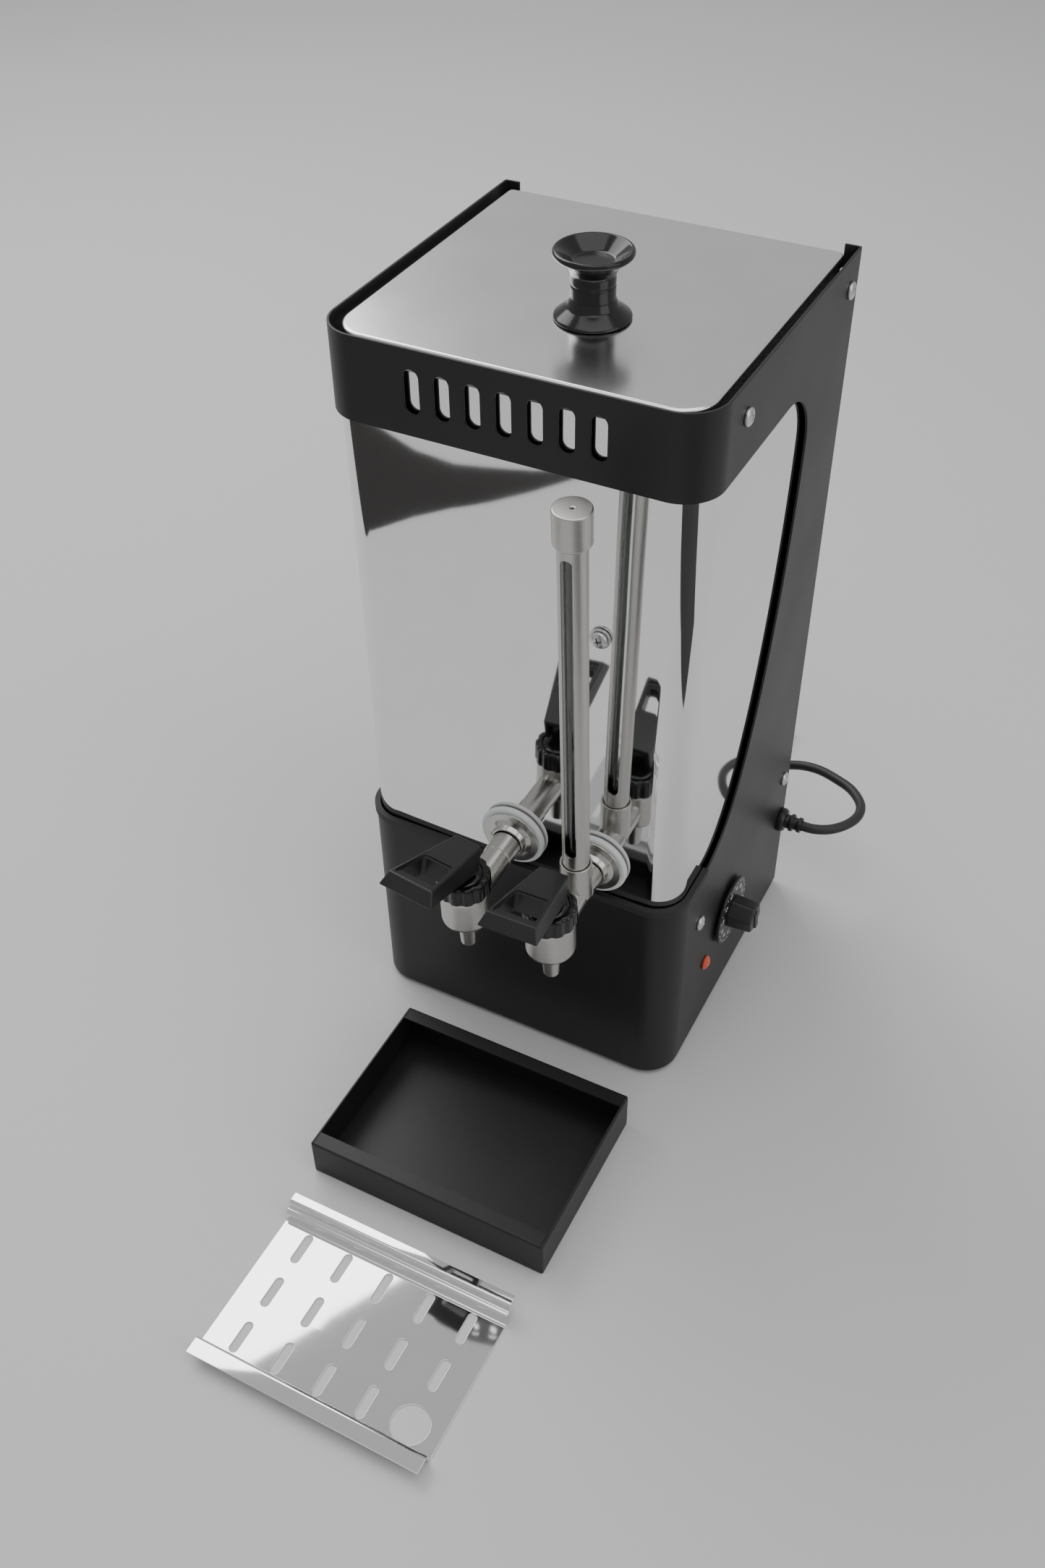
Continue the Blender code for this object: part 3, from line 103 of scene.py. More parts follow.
class Finish:
    """A material with its Principled shader, and one method that adds any node."""

    def __init__(self, name):
        self.name = name
        self.material = bpy.data.materials.new(name)
        self.material.use_nodes = True
        self.tree = self.material.node_tree
        self.shader = self.tree.nodes["Principled BSDF"]

    def feed(self, socket, value):
        if isinstance(value, Wire):
            self.tree.links.new(value.socket, socket)
        else:
            socket.default_value = value

    def node(self, kind, options=None, sockets=None, out=0):
        made = self.tree.nodes.new(kind)
        for name, value in (options or {}).items():
            setattr(made, name, value)
        for name, value in (sockets or {}).items():
            self.feed(made.inputs[name], value)
        return Wire(self, made.outputs[out])

    def principled(self, **sockets):
        for name, value in sockets.items():
            self.feed(self.shader.inputs[name.replace("_", " ")], value)
        return self

    def noise(self, size, detail=2.0, stretch=(1, 1, 1)):
        """Noise whose blobs are about `size` metres, stretched along chosen axes."""
        where = self.node("ShaderNodeTexCoord", out="Object")
        if stretch != (1, 1, 1):
            where = self.node("ShaderNodeMapping", {}, {"Vector": where, "Scale": stretch})
        return self.node("ShaderNodeTexNoise", {}, {"Vector": where, "Scale": 1 / size, "Detail": detail})

    def blend(self, factor, first, second):
        """A colour between two colours."""
        return self.node("ShaderNodeMix", {"data_type": "RGBA"},
                         {0: factor, 6: (*first, 1), 7: (*second, 1)}, out=2)

    def relief(self, height, depth, strength=1.0):
        return self.node("ShaderNodeBump", {}, {"Height": height, "Distance": depth, "Strength": strength},
                         out=0)


print("shader helpers ready")

# %% [markdown]
# ## The finishes
# Powder coat is a thick baked paint with a fine pebbled skin, so it gets two sizes of noise as relief and a
# roughness that drifts a little. Polished steel is nearly a mirror, but thin sheet is never quite flat: a
# very low, wide relief bends its reflections. Brushed steel has long thin scratches, made by stretching
# noise along the brushing. Plastics differ by their gloss and by how coarse the mould's grain is.

# %% Coats, plastics and rubber
def powder_coat():
    finish = Finish("powder_coat")
    pebbles = finish.noise(0.0011, 2.0)
    grit = finish.noise(0.00035, 1.0)
    drift = finish.noise(0.05, 3.0)
    return finish.principled(
        Base_Color=finish.blend(drift, (0.0085, 0.0085, 0.009), (0.0135, 0.0133, 0.0137)),
        Roughness=0.36 + drift * 0.10 + grit * 0.05, Specular_IOR_Level=0.38,
        Normal=finish.relief(pebbles * 0.7 + grit * 0.3, 0.00010, 0.55))


def moulded(name, colour, gloss, grain_size, grain_depth, smudges=0.08):
    """Injection-moulded plastic: even colour, a mould grain, and smudges in the gloss."""
    finish = Finish(name)
    grain = finish.noise(grain_size, 1.0)
    smudge = finish.noise(0.012, 4.0)
    lighter = tuple(0.004 + 1.12 * channel for channel in colour)
    return finish.principled(Base_Color=finish.blend(smudge, colour, lighter),
                             Roughness=gloss + smudge * smudges, Specular_IOR_Level=0.42,
                             Normal=finish.relief(grain, grain_depth, 0.5))


coat = powder_coat()
gloss_plastic = moulded("gloss_plastic", (0.0055, 0.0055, 0.006), 0.10, 0.0030, 0.00002, 0.10)
satin_plastic = moulded("satin_plastic", (0.012, 0.012, 0.0125), 0.27, 0.00030, 0.00003, 0.12)
rubber = moulded("rubber", (0.014, 0.014, 0.014), 0.50, 0.0005, 0.00003, 0.15)
cable_sheath = moulded("cable_sheath", (0.020, 0.020, 0.021), 0.42, 0.0007, 0.00003, 0.12)


# %% Metals
def polished_steel():
    finish = Finish("polished_steel")
    wave = finish.noise(0.09, 1.0)
    haze = finish.noise(0.03, 4.0)
    lines = finish.noise(0.0006, 1.0, stretch=(1, 1, 0.03))
    return finish.principled(Metallic=1.0, Base_Color=finish.blend(haze, (0.82, 0.82, 0.825), (0.87, 0.87, 0.87)),
                             Roughness=0.022 + haze * 0.020 + lines * 0.012,
                             Normal=finish.relief(wave, 0.0005, 0.35))


def brushed_steel(name, stretch, shine=0.24, scratch=0.000008):
    finish = Finish(name)
    lines = finish.noise(0.00035, 3.0, stretch=stretch)
    tint = finish.noise(0.012, 2.0)
    return finish.principled(Metallic=1.0,
                             Base_Color=finish.blend(lines, (0.42, 0.41, 0.39), (0.62, 0.61, 0.585)),
                             Roughness=shine + lines * 0.12 + tint * 0.05,
                             Normal=finish.relief(lines, scratch, 0.8))


def zinc_plate():
    finish = Finish("zinc_plate")
    spangle = finish.noise(0.0016, 2.0)
    return finish.principled(Metallic=1.0, Roughness=0.20 + spangle * 0.18,
                             Base_Color=finish.blend(spangle, (0.52, 0.52, 0.53), (0.72, 0.715, 0.70)),
                             Normal=finish.relief(spangle, 0.00003, 0.5))


def satin_steel():
    finish = Finish("satin_steel")
    haze = finish.noise(0.04, 4.0)
    return finish.principled(Metallic=1.0, Base_Color=finish.blend(haze, (0.80, 0.80, 0.80), (0.86, 0.86, 0.86)),
                             Roughness=0.17 + haze * 0.05, Normal=finish.relief(haze, 0.0002, 0.2))


mirror = polished_steel()
satin = satin_steel()
polish = brushed_steel("polished_turning", (0.03, 0.03, 1), 0.12, 0.000004)
brushed_up = brushed_steel("brushed_upright", (1, 1, 0.02))
brushed_round = brushed_steel("brushed_round", (0.03, 0.03, 1))
brushed_pipe = brushed_steel("brushed_pipe", (1, 1, 0.02), 0.18)
zinc = zinc_plate()


# %% Silicone, glass, lamp and print
def silicone_rubber():
    finish = Finish("silicone_rubber")
    cloud = finish.noise(0.004, 2.0)
    return finish.principled(Base_Color=finish.blend(cloud, (0.62, 0.65, 0.65), (0.74, 0.77, 0.77)),
                             Roughness=0.32 + cloud * 0.15, IOR=1.41, Subsurface_Weight=0.4,
                             Subsurface_Scale=0.003)


def tube_glass():
    finish = Finish("tube_glass")
    film = finish.noise(0.008, 3.0)
    return finish.principled(Base_Color=(0.90, 0.93, 0.92, 1), Transmission_Weight=1.0, IOR=1.47,
                             Roughness=film * 0.06)


def lamp_lens():
    finish = Finish("lamp_lens")
    swirl = finish.noise(0.002, 2.0)
    return finish.principled(Base_Color=finish.blend(swirl, (0.60, 0.045, 0.015), (0.86, 0.13, 0.04)),
                             Roughness=0.12 + swirl * 0.1, Transmission_Weight=0.2, Coat_Weight=0.6,
                             Normal=finish.relief(swirl, 0.0001, 0.3))


def white_print():
    finish = Finish("white_print")
    wear = finish.noise(0.0006, 2.0)
    return finish.principled(Base_Color=finish.blend(wear, (0.62, 0.62, 0.60), (0.82, 0.82, 0.80)),
                             Roughness=0.5 + wear * 0.1)


silicone = silicone_rubber()
glass = tube_glass()
lens = lamp_lens()
print_white = white_print()
print(len(bpy.data.materials), "materials")

# %% [markdown]
# ## Shapes from outlines
# Most of this object is bent sheet or turned metal. A few helpers cover both: a corner-easing function, a
# lathe, a prism, a sheet folded along a path, and a section swept along a path. A last one cuts, thickens
# and bevels a mesh with modifiers and keeps only the result, so no helper objects are left in the scene.

# %% Outlines
def arc(centre, radius, start, end, count):
    """Points on an arc, angles in degrees."""
    return [(centre[0] + radius * math.cos(math.radians(start + (end - start) * i / count)),
             centre[1] + radius * math.sin(math.radians(start + (end - start) * i / count)))
            for i in range(count + 1)]


def eased(points, radius, steps=3, closed=False):
    """The same outline with its sharp corners rounded."""
    count = len(points)
    made = []
    for i, point in enumerate(points):
        if not closed and i in (0, count - 1):
            made.append(point)
            continue
        here = Vector(point)
        back, ahead = Vector(points[i - 1]) - here, Vector(points[(i + 1) % count]) - here
        if back.angle(-ahead, 0) < math.radians(14):
            made.append(point)
            continue
        first = here + back.normalized() * min(radius, back.length * 0.48)
        last = here + ahead.normalized() * min(radius, ahead.length * 0.48)
        for k in range(steps + 1):
            t = k / steps
            made.append(tuple(first * (1 - t) ** 2 + here * 2 * t * (1 - t) + last * t * t))
    return made


def obround(centre, width, length, count=12):
    """Slot with round ends, its length along the second axis."""
    reach = (length - width) / 2
    return (arc((centre[0], centre[1] + reach), width / 2, 0, 180, count)
            + arc((centre[0], centre[1] - reach), width / 2, 180, 360, count))


def bezier(points, count):
    """Cubic curve through four control points, without its first point."""
    spots = []
    for i in range(1, count + 1):
        t = i / count
        weights = ((1 - t) ** 3, 3 * t * (1 - t) ** 2, 3 * t * t * (1 - t), t ** 3)
        spots.append(tuple(sum(w * p[k] for w, p in zip(weights, points)) for k in (0, 1)))
    return spots


# %% Meshes
def mesh_from(work, solid=True):
    if solid:
        bmesh.ops.recalc_face_normals(work, faces=work.faces)
    mesh = bpy.data.meshes.new("shape")
    work.to_mesh(mesh)
    work.free()
    return mesh


def lathe(profile, steps=72, closed=False, swell=None):
    """Turn (radius, height) pairs about Z. `swell` may change a radius round the turn."""
    work = bmesh.new()
    rings = []
    for radius, height in profile:
        if radius < 1e-6:
            rings.append([work.verts.new((0, 0, height))] * steps)
            continue
        ring = []
        for i in range(steps):
            turn = 2 * math.pi * i / steps
            reach = swell(radius, height, turn) if swell else radius
            ring.append(work.verts.new((reach * math.cos(turn), reach * math.sin(turn), height)))
        rings.append(ring)
    for upper, lower in zip(rings, rings[1:] + (rings[:1] if closed else [])):
        for i in range(steps):
            j = (i + 1) % steps
            corners = [upper[i], lower[i], lower[j], upper[j]]
            work.faces.new(list(dict.fromkeys(corners)))
    return mesh_from(work)


def loft(loops, cap=True, closed=True):
    """Skin over loops of equal length; cap is True for both ends, "last" for one, or False."""
    work = bmesh.new()
    rings = [[work.verts.new(point) for point in loop] for loop in loops]
    count = len(rings[0])
    for upper, lower in zip(rings, rings[1:]):
        for i in range(count if closed else count - 1):
            j = (i + 1) % count
            work.faces.new((upper[i], lower[i], lower[j], upper[j]))
    if cap is True:
        work.faces.new(rings[0])
    if cap:
        work.faces.new(list(reversed(rings[-1])))
    return mesh_from(work, solid=cap is True)


PLANES = {"XY": lambda a, b, c: (a, b, c), "YZ": lambda a, b, c: (c, a, b), "XZ": lambda a, b, c: (a, c, b)}


def prism(outline, low, high, plane="XY"):
    lay = PLANES[plane]
    return loft([[lay(a, b, low) for a, b in outline], [lay(a, b, high) for a, b in outline]])


def block(size, centre=(0, 0, 0)):
    x, y, z = (side / 2 for side in size)
    outline = [(centre[0] - x, centre[1] - y), (centre[0] + x, centre[1] - y), (centre[0] + x, centre[1] + y),
               (centre[0] - x, centre[1] + y)]
    return prism(outline, centre[2] - z, centre[2] + z)


def rod(radius, low, high, steps=32):
    return lathe([(0, high), (radius, high), (radius, low), (0, low)], steps)


def swept(path, section):
    """Closed section of (outward, upward) pairs carried along a flat open path."""
    loops = []
    for i, point in enumerate(path):
        before, after = Vector(path[max(i - 1, 0)]), Vector(path[min(i + 1, len(path) - 1)])
        along = (after - before).normalized()
        out = Vector((along.y, -along.x))
        loops.append([(point[0] + out.x * push, point[1] + out.y * push, rise) for push, rise in section])
    return loft(loops)


# %% Cutting, thickening and placing
def worked(mesh, cutters=(), joined=(), wall=0.0, outward=-1.0, bevel=0.0, segments=2, limit=30):
    """The mesh after Solidify, Boolean cuts and joins, and a Bevel."""
    made = bpy.data.objects.new("work", mesh)
    bpy.context.scene.collection.objects.link(made)
    helpers = []
    if wall:
        step = made.modifiers.new("wall", "SOLIDIFY")
        step.thickness, step.offset, step.use_even_offset = wall, outward, True
    for operation, tools in (("UNION", joined), ("DIFFERENCE", cutters)):
        for tool in tools:
            shape, spot = tool if isinstance(tool, tuple) else (tool, Matrix())
            helper = bpy.data.objects.new("helper", shape)
            helper.matrix_world = spot
            bpy.context.scene.collection.objects.link(helper)
            helpers.append(helper)
            step = made.modifiers.new("cut", "BOOLEAN")
            step.operation, step.solver, step.object = operation, "EXACT", helper
    if bevel:
        step = made.modifiers.new("edge", "BEVEL")
        step.width, step.segments, step.limit_method = bevel, segments, "ANGLE"
        step.angle_limit = math.radians(limit)
    bpy.context.view_layer.update()
    result = bpy.data.meshes.new_from_object(made.evaluated_get(bpy.context.evaluated_depsgraph_get()))
    for old in [made] + helpers:
        bpy.data.objects.remove(old)
    work = bmesh.new()
    work.from_mesh(result)
    return mesh_from(work)


def piece(name, mesh, finish, body, nodes=(), spot=None, crease=32):
    """Put a finished mesh in the scene, riding on its body and standing for the plain solids it covers."""
    mesh = mesh.copy()
    mesh.name = name
    mesh.materials.clear()
    mesh.materials.append(finish.material)
    mesh.shade_smooth()
    mesh.set_sharp_from_angle(angle=math.radians(crease))
    made = bpy.data.objects.new(name, mesh)
    bpy.context.scene.collection.objects.link(made)
    if spot is not None:
        made.matrix_world = spot
    even = made.modifiers.new("even_normals", "WEIGHTED_NORMAL")
    even.keep_sharp = True
    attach(made, body)
    if nodes:
        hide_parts(*nodes)
    return made


def shift(x=0.0, y=0.0, z=0.0):
    return Matrix.Translation((x, y, z))


def spin(degrees, axis):
    return Matrix.Rotation(math.radians(degrees), 4, axis)


print("shape helpers ready")

# %% [markdown]
# ## The camera and the mains lead
# The camera comes first, so every piece is judged from one place. The lead is next, because it is one real
# length of cable: out of the strain relief in a loose loop, down behind the body, and the rest in a round
# coil of three and a half turns, two side by side and two high. It is a curve with a round section.

# %% Camera
def aimed(azimuth, elevation, roll):
    """Axes of a camera that looks along a bearing from +Y and an elevation."""
    along = Vector((math.sin(azimuth) * math.cos(elevation), math.cos(azimuth) * math.cos(elevation),
                    math.sin(elevation)))
    right = along.cross(Vector((0, 0, 1))).normalized()
    up = right.cross(along)
    across = right * math.cos(roll) + up * math.sin(roll)
    upward = up * math.cos(roll) - right * math.sin(roll)
    return Matrix((across, upward, -along)).transposed().to_4x4()


camera = bpy.data.objects.new("camera", bpy.data.cameras.new("camera"))
camera.data.lens, camera.data.sensor_width = 35.499, 36.0
camera.matrix_world = (Matrix.Translation((0.31915, -0.55565, 0.8579))
                       @ aimed(math.radians(-28.085), math.radians(-42.504), math.radians(-0.995)))
bpy.context.scene.collection.objects.link(camera)
bpy.context.scene.camera = camera

# %% The body's own axes
wrap_low, wrap_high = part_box("frame_wrap")
WIDTH, DEPTH, HEIGHT = wrap_high.x - wrap_low.x, wrap_high.y - wrap_low.y, wrap_high.z
ORIGIN = shift((wrap_low.x + wrap_high.x) / 2, (wrap_low.y + wrap_high.y) / 2)
FRONT, REAR, SIDE = -DEPTH / 2, DEPTH / 2, WIDTH / 2
GAP = 0.0003
print(f"body {WIDTH:.3f} x {DEPTH:.3f} x {HEIGHT:.3f} m")

# %% The lead's route
CORD_RADIUS, COIL_RADIUS = 0.0036, 0.040
coil_x, coil_y = -0.060, REAR + 0.1140
lie = CORD_RADIUS + GAP
RELIEF = Vector((SIDE, REAR - 0.0098, 0.0735))
outer_turn, inner_turn = COIL_RADIUS + CORD_RADIUS, COIL_RADIUS - CORD_RADIUS
beside_coil = math.sqrt((COIL_RADIUS + 3 * CORD_RADIUS + 2 * GAP) ** 2 - outer_turn ** 2)


def smooth_route(points, count):
    """Catmull-Rom curve through the points, evenly divided."""
    padded = [points[0] * 2 - points[1]] + points + [points[-1] * 2 - points[-2]]
    route = []
    for i in range(count):
        place_on = i * (len(points) - 1) / (count - 1)
        k = min(int(place_on), len(points) - 2)
        t = place_on - k
        a, b, c, d = padded[k:k + 4]
        route.append(0.5 * ((2 * b) + (c - a) * t + (2 * a - 5 * b + 4 * c - d) * t * t
                            + (3 * b - a - 3 * c + d) * t ** 3))
    return route


def step_between(value, start, end):
    share = min(max((value - start) / (end - start), 0), 1)
    return share * share * (3 - 2 * share)


loop = [(0, 0, 0), (0.006, 0, 0), (0.0185, 0, 0), (0.0270, 0.0010, 0), (0.0365, 0.0062, -0.0005),
        (0.0446, 0.0155, -0.0010), (0.0494, 0.0270, -0.0015), (0.0492, 0.0380, -0.0020),
        (0.0446, 0.0480, -0.0030), (0.0350, 0.0580, -0.0040), (0.0233, 0.0643, -0.0050),
        (0.0075, 0.0705, -0.0065), (-0.0080, 0.0734, -0.0100), (-0.0240, 0.0755, -0.0180),
        (-0.0390, 0.0770, -0.0300), (-0.0520, 0.0780, -0.0440)]
lead = [RELIEF + Vector(point) for point in loop]
lay_y = coil_y - outer_turn
lead += [Vector((SIDE - 0.0655, lay_y - 0.0012, lie + 0.0140)), Vector((SIDE - 0.0810, lay_y - 0.0004, lie + 0.0045)),
         Vector((SIDE - 0.0980, lay_y, lie + 0.0004)), Vector((SIDE - 0.1150, lay_y, lie)),
         Vector((coil_x + beside_coil, lay_y, lie))]
route = smooth_route(lead, 70)
# clockwise from the coil's front: bottom outer, bottom inner, top inner, then half a turn on top outside
for i in range(8, 1261, 7):
    inward = step_between(i, 300, 345) - step_between(i, 960, 1015)
    raised = step_between(i, 595, 660)
    reach = outer_turn - (outer_turn - inner_turn) * inward
    angle = math.radians(-90 - i)
    route.append(Vector((coil_x + reach * math.cos(angle), coil_y + reach * math.sin(angle),
                         lie + 2 * CORD_RADIUS * raised)))
plug_at = Vector((coil_x + beside_coil + 0.042, coil_y + outer_turn, 0.0085))
tail_high = lie + 2 * CORD_RADIUS
route += smooth_route([Vector((coil_x + 0.003, plug_at.y, tail_high)),
                       Vector((coil_x + 0.014, plug_at.y, tail_high - 0.0002)),
                       Vector((coil_x + 0.030, plug_at.y, tail_high - 0.0020)),
                       Vector((coil_x + 0.050, plug_at.y, 0.0086)), plug_at + Vector((0.004, 0, 0))], 20)
route = [ORIGIN @ point for point in route]
cord_length = sum((b - a).length for a, b in zip(route, route[1:]))
print(f"lead {cord_length:.3f} m, {len(route)} points")

# %% The plug and the lead itself
plug_spot = ORIGIN @ Matrix.Translation(plug_at) @ spin(90, "Y")


def plug_ring(height, half_high, half_wide, corner):
    outline = eased([(-half_high, -half_wide), (half_high, -half_wide), (half_high, half_wide),
                     (-half_high, half_wide)], corner, 5, closed=True)
    return [(x, y, height) for x, y in outline]


grip = [(0.0, 0.0058, 0.0072, 0.0045), (0.004, 0.0062, 0.0084, 0.0045)]
for ridge in range(4):
    start = 0.0060 + ridge * 0.0036
    width = 0.0092 + ridge * 0.0013
    proud = 0.0070 + ridge * 0.0002
    grip += [(start, 0.0062 + ridge * 0.0003, width, 0.004), (start + 0.0004, proud, width + 0.0008, 0.004),
             (start + 0.0020, proud, width + 0.0008, 0.004),
             (start + 0.0024, 0.0064 + ridge * 0.0003, width + 0.0004, 0.004)]
PLUG_HALF_WIDTH = 0.0165
grip += [(0.0235, 0.0080, 0.0158, 0.004), (0.0262, 0.0084, PLUG_HALF_WIDTH, 0.003),
         (0.0352, 0.0084, PLUG_HALF_WIDTH, 0.003),
         (0.0360, 0.0078, 0.0160, 0.003)]
plug = piece("plug_body", loft([plug_ring(*ring) for ring in grip]), cable_sheath, "housing", ["plug"], plug_spot)
PIN_TIP, PIN_ROOT, PIN_RADIUS = 0.0549, 0.034, 0.0020
pin_profile = [(0, PIN_TIP), (0.0012, PIN_TIP), (PIN_RADIUS, 0.0538), (PIN_RADIUS, PIN_ROOT), (0, PIN_ROOT)]
for index in range(3):
    place_of_pin = plug_spot @ shift(0.0012 * (index % 2) - 0.0006, (index - 1) * 0.0095)
    prong = piece(f"plug_prong_{index}", lathe(pin_profile, 24), brushed_up, "housing", spot=place_of_pin)
    prong.parent, prong.matrix_parent_inverse = plug, plug.matrix_world.inverted()

curve = bpy.data.curves.new("mains_lead", "CURVE")
curve.dimensions, curve.bevel_depth, curve.bevel_resolution = "3D", CORD_RADIUS, 6
spline = curve.splines.new("POLY")
spline.points.add(len(route) - 1)
for spot, co in zip(spline.points, route):
    spot.co = (*co, 1)
curve.materials.append(cable_sheath.material)
mains_lead = bpy.data.objects.new("mains_lead", curve)
bpy.context.scene.collection.objects.link(mains_lead)
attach(mains_lead, "housing")
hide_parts("cord_lead", "cord_coil", "cord_tail")

# %% [markdown]
# ## Strain relief
# A moulded ribbed sleeve holds the lead where it goes through the side. It is turned: the rib profile is
# drawn once and carried round. Easing each corner of the profile gives the soft edges of a moulding.

# %% Strain relief
ribs = [(0.0040, 0.0170), (0.0056, 0.0170), (0.0057, 0.0142), (0.0046, 0.0140), (0.0047, 0.0112), (0.0064, 0.0110),
        (0.0065, 0.0084), (0.0051, 0.0082), (0.0053, 0.0054), (0.0076, 0.0050), (0.0088, 0.0032), (0.0088, GAP),
        (0.0040, GAP)]
piece("ribbed_sleeve", lathe(eased(ribs, 0.0005, 3, closed=True), 48, closed=True), satin_plastic, "housing",
      ["strain_relief"], ORIGIN @ Matrix.Translation(RELIEF) @ spin(90, "Y"))

# %% [markdown]
# ## The black wrap
# One long sheet is bent round the front in two wide curves and folded in at the rear. The window above and
# the seven slots are cut through it. A ribbon along the plan outline, thickened by Solidify and cut with
# Booleans, is made the way the real sheet is, and a narrow Bevel gives the cut edges their thin highlight.

# %% Frame sheet
FRAME_SHEET, CORNER_RADIUS = 0.0015, 0.023
WINDOW_LOW, WINDOW_TOP = 0.161, HEIGHT - 0.049
WINDOW_REAR = REAR - 0.0635
WINDOW_CURVE_END = WINDOW_REAR - 0.0985


def at(points, height):
    return [(x, y, height) for x, y in points]


def wrap_path(offset, rear, flange=0.0):
    side, radius = SIDE + offset, CORNER_RADIUS + offset
    path = ([(-side, rear)] + arc((-side + radius, FRONT + CORNER_RADIUS), radius, 180, 270, 24)
            + arc((side - radius, FRONT + CORNER_RADIUS), radius, 270, 360, 24) + [(side, rear)])
    if flange:
        path = [(-side + flange, rear)] + path + [(side - flange, rear)]
    return path


corner_z = WINDOW_TOP - 0.038
window = [(FRONT - 0.02, WINDOW_LOW), (FRONT - 0.02, WINDOW_TOP)]
window += list(reversed(arc((WINDOW_REAR - 0.038, corner_z), 0.038, 0, 90, 24)))
window += bezier([(WINDOW_REAR, corner_z), (WINDOW_REAR - 0.0025, corner_z - 0.36 * (corner_z - WINDOW_LOW)),
                  (WINDOW_CURVE_END + 0.060, WINDOW_LOW + 0.002), (WINDOW_CURVE_END, WINDOW_LOW)], 48)
cuts = [prism(window, -SIDE - 0.02, SIDE + 0.02, "YZ")]
for index in range(7):
    slot_outline = obround(((index - 3) * 0.0175, HEIGHT - 0.0237), 0.009, 0.025, 16)
    cuts.append(prism(slot_outline, FRONT - 0.01, FRONT + 0.01, "XZ"))
path = eased(wrap_path(0, REAR, 0.010), 0.0022, 4)
wrap = worked(loft([at(path, HEIGHT), at(path, 0.004)], cap=False, closed=False), wall=FRAME_SHEET)
piece("wrapped_sheet", worked(wrap, cuts, bevel=0.00035), coat, "housing", ["frame_wrap"], ORIGIN)

# %% Rubber edging on the window's lower edge
grow = 0.0009 + GAP
low, high = WINDOW_LOW - 0.0042, WINDOW_LOW + 0.0009 + GAP
section = eased([(grow, low), (grow, high), (-FRAME_SHEET - grow, high), (-FRAME_SHEET - grow, low),
                 (-FRAME_SHEET - GAP, low), (-FRAME_SHEET - GAP, WINDOW_LOW + GAP), (GAP, WINDOW_LOW + GAP),
                 (GAP, low)], 0.0004, 2, closed=True)
piece("window_edging", swept(wrap_path(0, WINDOW_CURVE_END - 0.002), section), rubber, "housing", ["edge_trim"],
      ORIGIN)

# %% Panels, shelf and rails that keep their plain shape
def dress(finish, *names):
    """Give a plain solid a finish and leave its shape alone."""
    for name in names:
        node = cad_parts[name]
        for holder in node.material_slots:
            holder.link = "OBJECT"
            holder.material = finish.material


dress(coat, "base_plate", "back_panel")
dress(zinc, "tank_shelf", "tank_rail_left", "tank_rail_right", "heater_plate", "thermostat", "lock_nut_left",
      "lock_nut_right", "pin_left", "pin_right", "lid_knob_screw")
dress(brushed_up, "inner_vessel", "lid_skirt")
dress(rubber, "stem_left", "stem_right")

# %% [markdown]
# ## Tank and lid
# The tank's jacket is thin polished sheet, bowed out a few millimetres at the front. It is a mirror, so a
# coarse facet would show at once: its plan outline has many short steps and every face is a flat upright
# strip, which keeps the reflections straight up and down. The lid is a shallow folded pan.

# %% Tank jacket
TANK_SIDE, TANK_FRONT, TANK_REAR = SIDE - 0.0031, FRONT + 0.0039, REAR - 0.0115
TANK_BULGE, TANK_RADIUS, TANK_REAR_RADIUS = 0.0009, 0.0195, 0.016
BULGE_RADIUS = (TANK_SIDE - TANK_RADIUS) ** 2 / (2 * TANK_BULGE)
TANK_SHEET, RIM_INSET = 0.001, 0.0064


def tank_outline(inset):
    side, front, rear = TANK_SIDE - inset, TANK_FRONT + inset, TANK_REAR - inset
    radius, rear_radius = TANK_RADIUS - inset, TANK_REAR_RADIUS - inset
    reach = side - radius
    points = []
    for i in range(1, 48):
        x = -reach + 2 * reach * i / 48
        points.append((x, front - TANK_BULGE * (1 - (x / reach) ** 2)))
    points += arc((reach, front + radius), radius, 270, 360, 28)
    points += arc((side - rear_radius, rear - rear_radius), rear_radius, 0, 90, 16)
    points += arc((-side + rear_radius, rear - rear_radius), rear_radius, 90, 180, 16)
    points += arc((-reach, front + radius), radius, 180, 270, 28)
    return points


TAP_Z, TAP_REACH, PIPE_RADIUS = 0.1865, 0.0636, 0.0088


def tap_places(tap_x, lever_turn):
    """Where a tap stands: on the wall, along its pipe, on its valve, and at the lever's pin."""
    wall_y = TANK_FRONT - TANK_BULGE + tap_x ** 2 / (2 * BULGE_RADIUS)
    seat = (ORIGIN @ shift(tap_x, wall_y, TAP_Z)
            @ Matrix.Rotation(math.asin(tap_x / BULGE_RADIUS), 4, "Z"))
    line = seat @ spin(2.4, "X")
    valve = line @ shift(y=-TAP_REACH)
    head = valve @ spin(lever_turn, "Z")
    hinge = head @ shift(0, -0.0055, 0.0384) @ spin(-16, "X")
    return seat, line, valve, head, hinge


taps = {"left": tap_places(0.0, -7.0), "right": tap_places(0.0555, 0.4)}
lid_top = HEIGHT - 0.0015
rim_under = lid_top - 2 * TANK_SHEET - 2 * GAP
shoulder = [at(tank_outline(RIM_INSET), rim_under), at(tank_outline(RIM_INSET), rim_under - 0.004),
            at(tank_outline(0), rim_under - 0.010), at(tank_outline(0), 0.1283)]
jacket = worked(loft(shoulder, cap=False), wall=TANK_SHEET)
pipe_holes = [(rod(PIPE_RADIUS + 0.0006, -0.010, 0.010), ORIGIN.inverted() @ line @ spin(90, "X"))
              for seat, line, valve, head, hinge in taps.values()]
piece("mirror_jacket", worked(jacket, pipe_holes), mirror, "housing", ["tank_jacket"], ORIGIN)

# %% Lid
LID_HEM, LID_BEND = 0.0070, 0.0022
lid_side, lid_front, lid_rear = SIDE - 0.0070, FRONT + 0.0048, REAR - 0.0075


